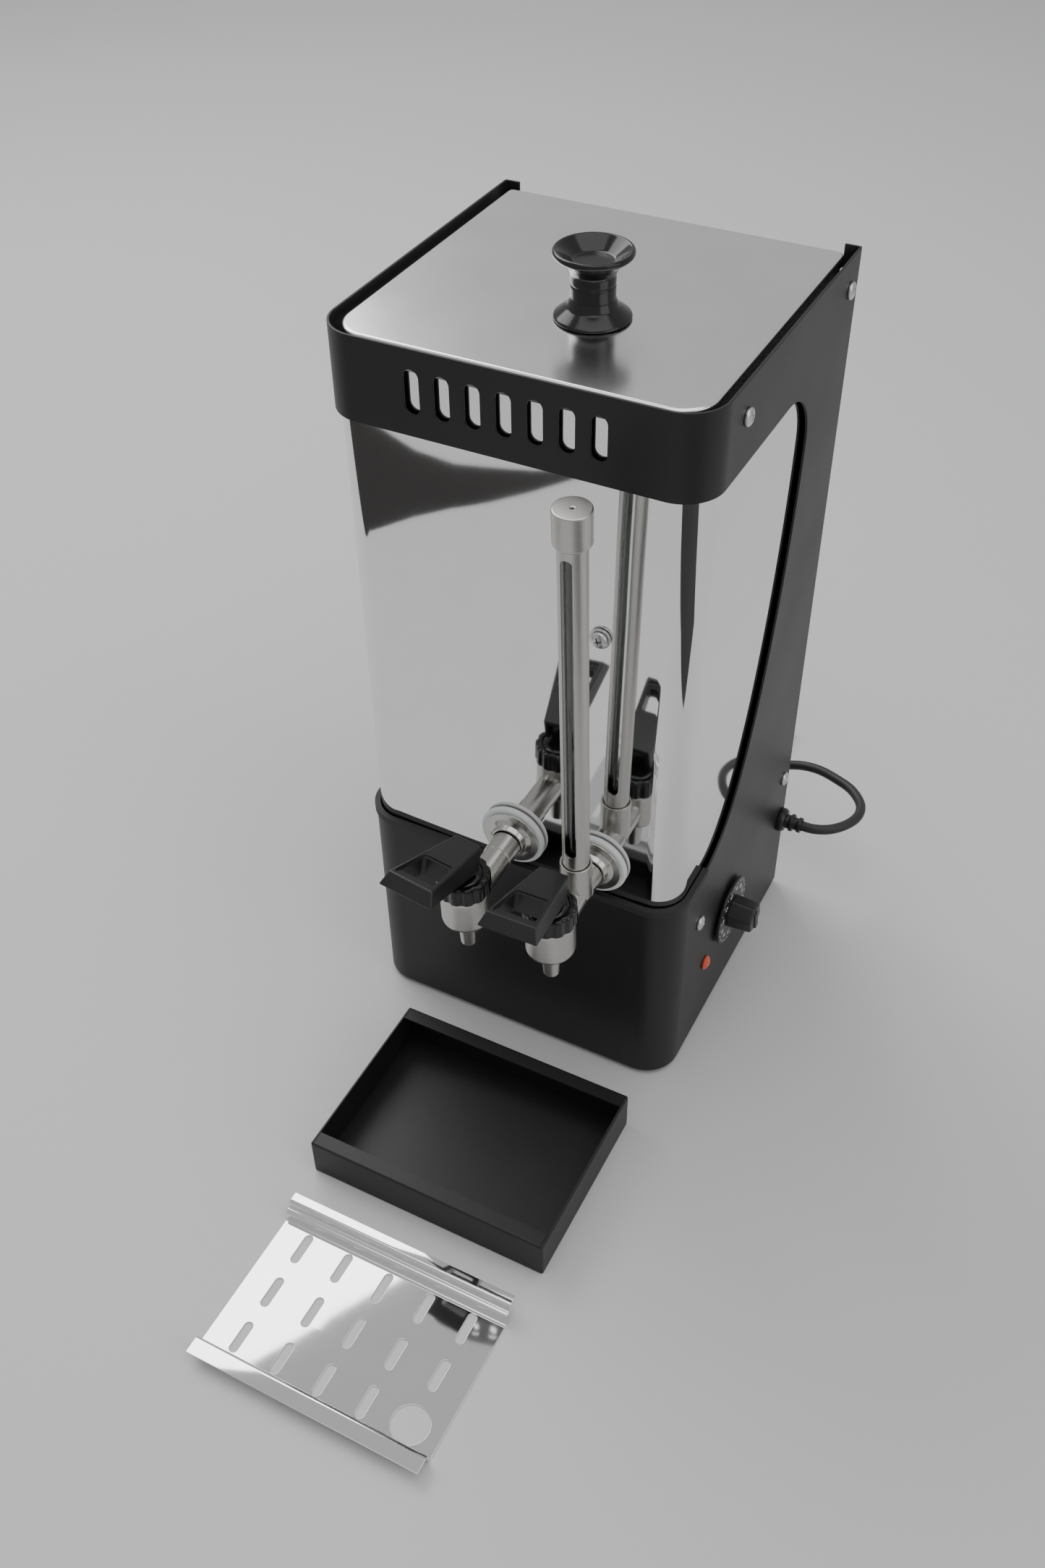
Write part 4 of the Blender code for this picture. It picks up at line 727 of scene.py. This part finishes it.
def lid_outline(inset):
    side, front, rear = lid_side - inset, lid_front + inset, lid_rear - inset
    radius, rear_radius = 0.020 - inset, 0.004 - inset
    return (arc((side - radius, front + radius), radius, 270, 360, 24)
            + arc((side - rear_radius, rear - rear_radius), rear_radius, 0, 90, 8)
            + arc((-side + rear_radius, rear - rear_radius), rear_radius, 90, 180, 8)
            + arc((-side + radius, front + radius), radius, 180, 270, 24))


lid_rings = [list(reversed(at(lid_outline(0), -LID_HEM)))]
for k in range(7):
    bend = math.radians(15 * k)
    lid_rings.append(list(reversed(at(lid_outline(LID_BEND * (1 - math.cos(bend))),
                                      -LID_BEND * (1 - math.sin(bend))))))
lid_pan = worked(loft(lid_rings, cap="last"), wall=TANK_SHEET)
notches = [prism([(hand * (lid_side - 0.0195), lid_front - 0.003), (hand * (lid_side + 0.003), lid_front - 0.003),
                  (hand * (lid_side + 0.003), lid_front + 0.0195), (hand * (lid_side - 0.0195), lid_front + 0.0195)],
                 -LID_HEM - 0.003, -0.0034) for hand in (-1, 1)]
lid_at = ORIGIN @ shift(z=lid_top)
piece("lid_pan", worked(lid_pan, notches), satin, "lid", ["lid_plate"], lid_at)

# %% Lid knob, a glossy spool
top, rim_radius, neck = 0.0365, 0.021, 0.0118
half = top / 2
spool = [(0, top - 0.0065), (0.52 * rim_radius, top - 0.0065), (0.92 * rim_radius, top - 0.0001),
         (rim_radius, top - 0.0008), (rim_radius, top - 0.0030),
         (neck + 0.0022, top - 0.0085), (neck, top - 0.0125), (neck, half + 0.0006),
         (neck - 0.0005, half), (neck, half - 0.0006), (neck, 0.0110), (neck + 0.0018, 0.0068),
         (0.86 * rim_radius, 0.0034), (0.975 * rim_radius, 0.0016), (0.975 * rim_radius, GAP), (0, GAP)]
piece("spool_knob", lathe(eased(spool, 0.0011, 5), 96), gloss_plastic, "lid", ["lid_knob"],
      lid_at @ shift(0.013, -0.032))
print("frame, tank and lid done")

# %% [markdown]
# ## Screws and feet
# All the visible screws are the same zinc pan head with a cross recess, so the mesh is made once and placed
# nine times. The recess is cut with a small tapered cross, which leaves the real bright walls inside it.

# %% Pan-head screws
HEAD_RADIUS, HEAD_HEIGHT = 0.0050, 0.0028
head = [(0, HEAD_HEIGHT)] + [(HEAD_RADIUS * math.sin(math.radians(a)), 0.0008 + 0.0020 * math.cos(math.radians(a)))
                             for a in (20, 35, 50, 62, 74, 84)] + [(HEAD_RADIUS, 0.0006), (HEAD_RADIUS, 0), (0, 0)]
bars = []
for across, along in ((0.0026, 0.0005), (0.0005, 0.0026)):
    wide = [(-across, -along), (across, -along), (across, along), (-across, along)]
    bars.append(loft([[(0.55 * x, 0.55 * y, 0.0010) for x, y in wide],
                      [(1.08 * x, 1.08 * y, 0.0031) for x, y in wide]]))
pan_head = worked(lathe(head, 48), bars)
screw_spots = {"top_rear": (REAR - 0.0145, HEIGHT - 0.0195), "top_front": (FRONT + 0.045, HEIGHT - 0.0195),
               "low_rear": (REAR - 0.0145, 0.117), "low_front": (FRONT + 0.045, 0.117)}
for spot, (screw_y, screw_z) in screw_spots.items():
    for label, hand in (("left", -1), ("right", 1)):
        piece(f"pan_head_{label}_{spot}", pan_head, zinc, "housing", [f"screw_{label}_{spot}"],
              ORIGIN @ shift(hand * (SIDE + GAP), screw_y, screw_z) @ spin(90 * hand, "Y")
              @ spin(37 + screw_z * 900, "Z"))

# %% Rubber feet
foot = [(0, 0.0057), (0.009, 0.0057), (0.009, 0.0022), (0.0078, 0.0008), (0.0066, 0), (0.003, 0), (0.0022, 0.0012),
        (0, 0.0012)]
for label, hand in (("left", -1), ("right", 1)):
    for end, foot_y in (("front", FRONT + 0.027), ("rear", REAR - 0.027)):
        piece(f"rubber_foot_{label}_{end}", lathe(eased(foot, 0.0006, 3), 48), rubber, "housing",
              [f"foot_{label}_{end}"], ORIGIN @ shift(hand * (SIDE - 0.027), foot_y))

# %% [markdown]
# ## Thermostat dial and lamp
# The dial is a printed disc with a six-sided knob. The dots and numerals are white print, a tenth of a
# millimetre proud: the numerals are text turned into mesh, so that no font object is left. The lamp's lens is
# turned with a radius that swells and sinks round it, which gives its moulded ribs.

# %% Dial disc and print
DIAL_RADIUS, DIAL_STANDOFF, DIAL_FACE = 0.0245, 0.0022, 0.0042
dial_at = ORIGIN @ shift(SIDE, -0.0072, 0.078) @ spin(90, "Y")
disc = [(0.0042, DIAL_FACE), (DIAL_RADIUS - 0.0006, DIAL_FACE), (DIAL_RADIUS, DIAL_FACE - 0.0006),
        (DIAL_RADIUS, DIAL_STANDOFF), (0.0042, DIAL_STANDOFF)]
piece("printed_disc", lathe(eased(disc, 0.0004, 3, closed=True), 96, closed=True), satin_plastic, "dial",
      ["dial_disc"], dial_at)


def printed(text, size):
    words = bpy.data.curves.new("figure", "FONT")
    words.body, words.size, words.extrude = text, size, 0.00004
    words.align_x, words.align_y = "CENTER", "CENTER"
    words.resolution_u = 3
    holder = bpy.data.objects.new("figure", words)
    bpy.context.scene.collection.objects.link(holder)
    bpy.context.view_layer.update()
    mesh = bpy.data.meshes.new_from_object(holder.evaluated_get(bpy.context.evaluated_depsgraph_get()))
    bpy.data.objects.remove(holder)
    return mesh


ink = bmesh.new()
for index in range(24):
    dot = rod(0.00055, -0.00004, 0.00004, 12)
    dot.transform(spin(15 * index, "Z") @ shift(0.0222, 0, 0))
    ink.from_mesh(dot)
for index, figure in enumerate(range(30, 121, 10)):
    mesh = printed(str(figure), 0.0042)
    mesh.transform(spin(-15 - 30 * index, "Z") @ shift(0.0176, 0, 0) @ spin(-90, "Z"))
    ink.from_mesh(mesh)
print_mesh = bpy.data.meshes.new("print")
ink.to_mesh(print_mesh)
ink.free()
piece("dial_figures", print_mesh, print_white, "dial", spot=dial_at @ shift(z=DIAL_FACE + 0.00005))

# %% Hexagonal knob
KNOB_LENGTH, KNOB_RADIUS = 0.0180, 0.0118


def hexagon(radius, height):
    corners = [(radius * math.cos(math.radians(60 * i)), radius * math.sin(math.radians(60 * i))) for i in range(6)]
    return at(eased(corners, 0.0016, 5, closed=True), height)


knob_rings = [hexagon(KNOB_RADIUS, DIAL_FACE + GAP), hexagon(0.93 * KNOB_RADIUS, DIAL_FACE + KNOB_LENGTH - 0.0030),
              hexagon(0.915 * KNOB_RADIUS, DIAL_FACE + KNOB_LENGTH - 0.0022),
              hexagon(0.86 * KNOB_RADIUS, DIAL_FACE + KNOB_LENGTH - 0.0014),
              hexagon(0.80 * KNOB_RADIUS, DIAL_FACE + KNOB_LENGTH - 0.0012)]
ridge = worked(block((0.0165, 0.0052, 0.0060), (0.0012, 0, DIAL_FACE + KNOB_LENGTH - 0.0030)), bevel=0.0009, segments=3)
piece("hex_knob", worked(loft(knob_rings), joined=[ridge]), satin_plastic, "dial", ["dial_knob"],
      dial_at @ spin(12, "Z"))

# %% Lamp
lens_profile = [(0, 0.0034), (0.0012, 0.0033), (0.0024, 0.0029), (0.0034, 0.0023), (0.0042, 0.0016), (0.0050, 0.0010),
                (0.0050, 0), (0.0034, 0), (0.0034, -0.004), (0, -0.004)]


def ribbed(radius, height, turn):
    return radius * (1 + 0.06 * math.cos(12 * turn)) if 0.001 < radius < 0.0045 and height > 0.001 else radius


piece("lamp_lens", lathe(lens_profile, 96, swell=ribbed), lens, "housing", ["pilot_lamp"],
      ORIGIN @ shift(SIDE + GAP, -0.044, 0.060) @ spin(90, "Y"))

# %% [markdown]
# ## The two taps
# Each tap is a brushed pipe through the tank wall, sealed by a silicone ring behind a flared washer. It carries
# a turned valve body with a tapered spout. Turned parts are brushed round their axis and the pipe along its
# length, so each takes the finish whose scratches run its own way. A fluted collar holds a glossy bonnet.

# %% Turned parts of a tap
VALVE_RADIUS, VALVE_BOTTOM, VALVE_SHOULDER, NECK_TOP, NECK_RADIUS = 0.0150, -0.0125, 0.0135, 0.0220, 0.0130
COLLAR_RADIUS, COLLAR_TOP, SPOUT_TIP = 0.0163, 0.0267, -0.0355
hole = PIPE_RADIUS + 0.0006
ring_mesh = lathe(eased([(hole, 0.0043), (0.0205, 0.0043), (0.0215, 0.0033), (0.0215, 0.0008), (hole, 0.0008)],
                        0.0009, 4, closed=True), 96, closed=True)
flare_mesh = lathe(eased([(hole, 0.0106), (hole + 0.0012, 0.0106), (hole + 0.0022, 0.0074), (hole + 0.0048, 0.0058),
                          (0.0185, 0.0054), (0.0185, 0.0046), (hole, 0.0046)], 0.0004, 3, closed=True), 96,
                   closed=True)
sleeve_low, sleeve_high = TAP_REACH - 0.0240, TAP_REACH - 0.0108
pipe_mesh = lathe(eased([(PIPE_RADIUS, 0.006), (PIPE_RADIUS, sleeve_low), (PIPE_RADIUS + 0.0005, sleeve_low + 0.0002),
                         (PIPE_RADIUS + 0.0005, sleeve_high), (PIPE_RADIUS, sleeve_high + 0.0004),
                         (PIPE_RADIUS, TAP_REACH + 0.024), (0.0055, TAP_REACH + 0.024), (0.0055, 0.006)],
                        0.0002, 2, closed=True), 72, closed=True)
body_mesh = lathe(eased([(0, NECK_TOP), (NECK_RADIUS, NECK_TOP), (NECK_RADIUS, VALVE_SHOULDER)], 0.0002, 2)
                  + eased([(NECK_RADIUS, VALVE_SHOULDER), (VALVE_RADIUS, VALVE_SHOULDER),
                           (VALVE_RADIUS, VALVE_BOTTOM), (0, VALVE_BOTTOM)], 0.0034, 8)[2:], 96)
spout_mesh = lathe(eased([(0.0096, VALVE_BOTTOM + 0.0002), (0.0066, VALVE_BOTTOM - 0.0012),
                          (0.0059, VALVE_BOTTOM - 0.0035), (0.0051, SPOUT_TIP + 0.006), (0.0048, SPOUT_TIP),
                          (0.0034, SPOUT_TIP),
                          (0.0034, VALVE_BOTTOM + 0.0002)], 0.0009, 4, closed=True), 72, closed=True)


def fluted(radius, height, turn):
    """Twelve wide shallow flutes down the collar's side."""
    if radius < 0.0140:
        return radius
    away = abs((turn * 12 / (2 * math.pi) + 0.5) % 1 - 0.5) * 2 * math.pi / 12 * COLLAR_RADIUS
    return radius - 0.0009 * max(0.0, math.cos(min(away / 0.0026, 1) * math.pi / 2)) ** 1.2


dome = NECK_RADIUS - 0.0014
collar_mesh = lathe(eased([(dome + GAP, COLLAR_TOP), (COLLAR_RADIUS - 0.0016, COLLAR_TOP),
                           (COLLAR_RADIUS, COLLAR_TOP - 0.0014), (COLLAR_RADIUS, VALVE_SHOULDER + GAP),
                           (NECK_RADIUS + GAP, VALVE_SHOULDER + GAP),
                           (NECK_RADIUS + GAP, COLLAR_TOP - 0.0017), (dome + GAP, COLLAR_TOP - 0.0017)], 0.0006, 3,
                          closed=True), 240, closed=True, swell=fluted)
bonnet_mesh = lathe([(0, COLLAR_TOP + 0.0008), (0.0060, COLLAR_TOP + 0.0008), (0.0085, COLLAR_TOP + 0.0006),
                     (0.0105, COLLAR_TOP + 0.0001), (dome - 0.0002, COLLAR_TOP - 0.0006), (dome, COLLAR_TOP - 0.0012),
                     (dome, NECK_TOP + GAP), (0, NECK_TOP + GAP)], 96)
post_mesh = worked(block((0.0120, 0.0110, 0.0178), (0, -0.0035, 0.0343)), bevel=0.0016, segments=4)
stem_bore = rod(0.0033, 0.010, COLLAR_TOP + 0.0002)
bonnet_mesh, post_mesh = worked(bonnet_mesh, [stem_bore]), worked(post_mesh, [stem_bore])

# %% Levers
LEVER_BACK, LEVER_FRONT, LEVER_RISE, LEVER_LENGTH = 0.0108, 0.0455, 0.0115, 0.0500


def lever_half(y, inset):
    """Half width of the lever's top at a distance, less a border."""
    share = (LEVER_BACK - y) / (LEVER_BACK + LEVER_FRONT)
    return (0.0184 + (0.0300 - 0.0184) * share) / 2 - inset


def trapezoid(back, front, inset, corner):
    rear_half, front_half = lever_half(back, inset), lever_half(front, inset)
    return eased([(-rear_half, back), (-front_half, front), (front_half, front), (rear_half, back)], corner, 6,
                 closed=True)


lever_block = loft([[(-0.0095, LEVER_BACK, -0.0060), (0.0095, LEVER_BACK, -0.0060), (0.0092, LEVER_BACK, LEVER_RISE),
                     (-0.0092, LEVER_BACK, LEVER_RISE)],
                    [(-0.0184, -LEVER_LENGTH, 0.0029), (0.0184, -LEVER_LENGTH, 0.0029),
                     (0.0150, -LEVER_FRONT, LEVER_RISE), (-0.0150, -LEVER_FRONT, LEVER_RISE)]])
pocket = block((0.0126, 0.0343, 0.0287), (0, 0.00365, -0.00565))
recess_back, recess_front = -0.0130, -LEVER_FRONT + 0.0022
slope = math.atan2(0.0013, recess_back - recess_front)
dip_at = shift(z=LEVER_RISE - recess_back * math.tan(slope)) @ Matrix.Rotation(slope, 4, "X")
lever_cuts = [pocket, prism(trapezoid(-0.0200, -0.0385, 0.0030, 0.0022), -0.02, 0.02),
              (prism(trapezoid(recess_back, recess_front, 0.0016, 0.0026), 0, 0.004), dip_at),
              (prism(trapezoid(-0.0180, -0.0403, 0.0023, 0.0026), -0.0006, 0.004), dip_at)]
lever_mesh = worked(worked(lever_block, bevel=0.0011, segments=3, limit=35), lever_cuts)
lever_mesh = worked(lever_mesh, bevel=0.00025, segments=2, limit=45)

# %% Put both taps together
for label, (seat, line, valve, head, hinge) in taps.items():
    out_of_wall = seat @ spin(90, "X")
    piece(f"seal_ring_{label}", ring_mesh, silicone, "housing", [f"silicone_{label}"], out_of_wall)
    piece(f"flared_washer_{label}", flare_mesh, polish, "housing", [f"flare_{label}"], out_of_wall)
    piece(f"valve_{label}", body_mesh, brushed_round, "housing", [f"valve_body_{label}"], valve)
    piece(f"pipe_{label}", pipe_mesh, brushed_pipe, "housing", spot=valve @ spin(-90, "X"))
    piece(f"spout_{label}", spout_mesh, brushed_round, "housing", spot=valve)
    piece(f"fluted_collar_{label}", collar_mesh, gloss_plastic, "housing", [f"collar_{label}"], head)
    piece(f"domed_bonnet_{label}", bonnet_mesh, gloss_plastic, "housing", [f"bonnet_{label}"], head)
    piece(f"lever_post_{label}", post_mesh, gloss_plastic, "housing", spot=head)
    piece(f"press_lever_{label}", lever_mesh, satin_plastic, f"tap_lever_{label}", [f"lever_{label}"], hinge)

# %% [markdown]
# ## Level gauge
# A glass tube stands in a socket on the right tap's pipe. A brushed steel guard with a long slot protects it
# and a cap with a vent hole closes the top. The guard is a turned tube and the slot is one Boolean cut.

# %% Gauge
gauge_at = taps["right"][1] @ shift(y=-0.0280)
GUARD_RADIUS, GUARD_INNER, GAUGE_TOP, CAP_RADIUS = 0.0080, 0.0070, 0.2745, 0.0103
cap_low, guard_top = GAUGE_TOP - 0.0200, GAUGE_TOP - 0.0033
socket = [(0.0096, 0.0270), (0.0096, 0), (0.0060, 0), (0.0060, 0.0120), (0.0083, 0.0120), (0.0083, 0.0270)]
piece("gauge_socket", lathe(eased(socket, 0.0005, 3, closed=True), 72, closed=True), brushed_round, "housing",
      spot=gauge_at)
TUBE_FOOT, GLASS_INNER, GLASS_RADIUS = 0.0125, 0.0039, 0.0050
glass_top = guard_top - 0.002
tube = lathe([(GUARD_INNER, guard_top), (GUARD_RADIUS, guard_top), (GUARD_RADIUS, TUBE_FOOT),
              (GUARD_INNER, TUBE_FOOT)], 72, closed=True)
opening = prism(obround((0, (0.0370 + cap_low - 0.006) / 2), 0.0070, cap_low - 0.006 - 0.0370, 16), -0.02, 0.02, "XZ")
piece("slotted_guard", worked(tube, [opening], bevel=0.0002), brushed_up, "housing", ["gauge_guard"], gauge_at)
piece("glass_tube", lathe([(GLASS_INNER, glass_top), (GLASS_RADIUS, glass_top), (GLASS_RADIUS, TUBE_FOOT),
                           (GLASS_INNER, TUBE_FOOT)], 48, closed=True), glass, "housing", ["gauge_glass"], gauge_at)
cap = [(0.0008, GAUGE_TOP), (CAP_RADIUS, GAUGE_TOP), (CAP_RADIUS, cap_low), (0.0083, cap_low),
       (0.0083, GAUGE_TOP - 0.0030), (0.0008, GAUGE_TOP - 0.0030)]
piece("vent_cap", lathe(eased(cap, 0.0009, 4, closed=True), 96, closed=True), brushed_round, "housing", ["gauge_cap"],
      gauge_at)

# %% Stay screw behind the gauge
stay_x, stay_z = 0.0550, 0.356
stay_at = (ORIGIN @ shift(stay_x, TANK_FRONT - TANK_BULGE + stay_x ** 2 / (2 * BULGE_RADIUS), stay_z)
           @ Matrix.Rotation(math.asin(stay_x / BULGE_RADIUS), 4, "Z") @ spin(90, "X"))
washer = [(0.0027, 0.0022), (0.0062, 0.0022), (0.0062, 0.0004), (0.0027, 0.0004)]
piece("stay_washer_ring", lathe(eased(washer, 0.0004, 3, closed=True), 48, closed=True), zinc, "housing",
      ["stay_washer"], stay_at)
piece("stay_pan_head", pan_head, zinc, "housing", ["stay_screw"], stay_at @ shift(z=0.0025) @ spin(20, "Z"))
print("taps and gauge done")

# %% [markdown]
# ## Drip tray and grille
# The tray is folded sheet in the same black coat: four walls, and a narrow flange turned in at the front and
# the rear. Fine grooves show where the flanges meet the side walls. The grille is one polished strip whose
# front edge rises in a fold and whose rear edge rises in two steps, with rows of slots punched through it.

# %% Drip tray
tray_low, tray_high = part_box("drip_tray")
tray_size = tray_high - tray_low
tray_at = shift((tray_low.x + tray_high.x) / 2, (tray_low.y + tray_high.y) / 2)
tray_wall, tray_flange = 0.0015, 0.010
inside = tray_size.x - 2 * tray_wall
shell = worked(block(tuple(tray_size), (0, 0, tray_size.z / 2)), bevel=0.0014, segments=4)
hollow = [block((inside, tray_size.y - 2 * tray_wall, tray_size.z - 2 * tray_wall), (0, 0, tray_size.z / 2)),
          block((inside, tray_size.y - 2 * tray_flange, tray_size.z), (0, 0, tray_size.z))]
for hand in (-1, 1):
    for end in (-1, 1):
        hollow.append(block((0.00035, tray_flange + 0.002, 0.0012),
                            (hand * (inside / 2 - 0.0002), end * (tray_size.y / 2 - tray_flange / 2 - 0.0006),
                             tray_size.z)))
piece("folded_tray", worked(shell, hollow, bevel=0.0002), coat, "tray", ["drip_tray"], tray_at)

# %% Grille
grille_low, grille_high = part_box("drip_grille")
GRILLE_WIDTH, GRILLE_PLATE, SHEET = grille_high.x - grille_low.x, 0.0935, 0.0009
reach = GRILLE_PLATE / 2
grille_at = ORIGIN @ shift(0.0205, -0.107 - 0.040 - 0.124 - 0.0265 - 0.0070 - 0.0045 - reach)
fold = [(-reach - 0.0110, 0.0085), (-reach, 0.0085), (-reach, 0), (reach, 0), (reach, 0.0080), (reach + 0.0045, 0.0080),
        (reach + 0.0045, 0.0130), (reach + 0.0115, 0.0130)]
fold = eased(fold, 0.0021, 5)
strip = loft([[(-GRILLE_WIDTH / 2, y, z) for y, z in fold], [(GRILLE_WIDTH / 2, y, z) for y, z in fold]], cap=False,
             closed=False)
punched = []
for row in range(3):
    for column in range(5):
        spot = ((column - 2) * 0.0290, (1 - row) * 0.0325)
        outline = arc(spot, 0.0118, 0, 354, 59) if (row, column) == (2, 4) else obround(spot, 0.0058, 0.0210, 12)
        punched.append(prism(outline, -0.004, 0.004))
piece("punched_grille", worked(worked(strip, wall=SHEET, outward=1.0), punched, bevel=0.00018), mirror, "grille",
      ["drip_grille"], grille_at)

# %% [markdown]
# ## Stage
# A pale matt floor and three wide soft lights. A polished surface shows only what stands round it, so two dark
# cards that only reflections see are laid out in front of the tank: they give the mirror its dark areas, as
# black flags do in a studio. The cards are stage, not part of the object.

# %% Floor and dark cards
def stage_sheet(name, corners, colour, height=0.0):
    finish = Finish(name)
    speck = finish.noise(0.4, 2.0)
    finish.principled(Base_Color=finish.blend(speck, tuple(0.97 * c for c in colour), colour), Roughness=0.7)
    mesh = bpy.data.meshes.new(name)
    mesh.from_pydata(at(corners, height), [], [tuple(range(len(corners)))])
    mesh.materials.append(finish.material)
    made = bpy.data.objects.new(name, mesh)
    bpy.context.scene.collection.objects.link(made)
    made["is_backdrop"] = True
    return made


def only_reflected(card):
    card.visible_camera = card.visible_diffuse = card.visible_shadow = card.visible_transmission = False


stage_sheet("floor", [(-6, -6), (6, -6), (6, 6), (-6, 6)], (0.60, 0.60, 0.60))
far_left = [(-0.95, -0.80), (-0.56, -0.60), (-0.48, -0.577), (-0.425, -0.578), (-0.33, -0.612), (-0.24, -0.66),
            (-0.317, -0.568), (-0.35, -0.532), (-0.386, -0.502), (-0.417, -0.465), (-0.448, -0.421), (-0.56, -0.30),
            (-0.95, -0.10)]
far_right = [(0.33, -0.72), (0.75, -0.62), (0.80, -0.20), (0.60, 0.02), (0.455, -0.07), (0.43, -0.30), (0.37, -0.50)]
only_reflected(stage_sheet("dark_card_left", far_left, (0.014, 0.012, 0.011), 0.002))
only_reflected(stage_sheet("dark_card_right", far_right, (0.014, 0.012, 0.011), 0.002))


# %% Lights
def soft_light(name, size_x, size_y, power, place, target):
    light = bpy.data.lights.new(name, "AREA")
    light.shape, light.size, light.size_y, light.energy = "RECTANGLE", size_x, size_y, power
    made = bpy.data.objects.new(name, light)
    made.location = place
    made.rotation_euler = (Vector(target) - Vector(place)).to_track_quat("-Z", "Y").to_euler()
    bpy.context.scene.collection.objects.link(made)


soft_light("window_light", 1.8, 1.4, 34, (-1.5, 0.9, 2.0), (0, 0, 0.2))
soft_light("ceiling_light", 2.4, 2.4, 26, (0.4, -0.2, 2.6), (0, 0, 0))
soft_light("right_fill", 1.4, 1.2, 7, (1.9, -0.2, 1.1), (0, 0.1, 0.2))
world = bpy.data.worlds.new("studio")
bpy.context.scene.world = world
world.use_nodes = True
world.node_tree.nodes["Background"].inputs["Color"].default_value = (0.60, 0.60, 0.60, 1)
world.node_tree.nodes["Background"].inputs["Strength"].default_value = 0.85

# %% Sizes and finish
low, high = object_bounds()
print("visual low/high:", [round(v, 4) for v in (*low, *high)])
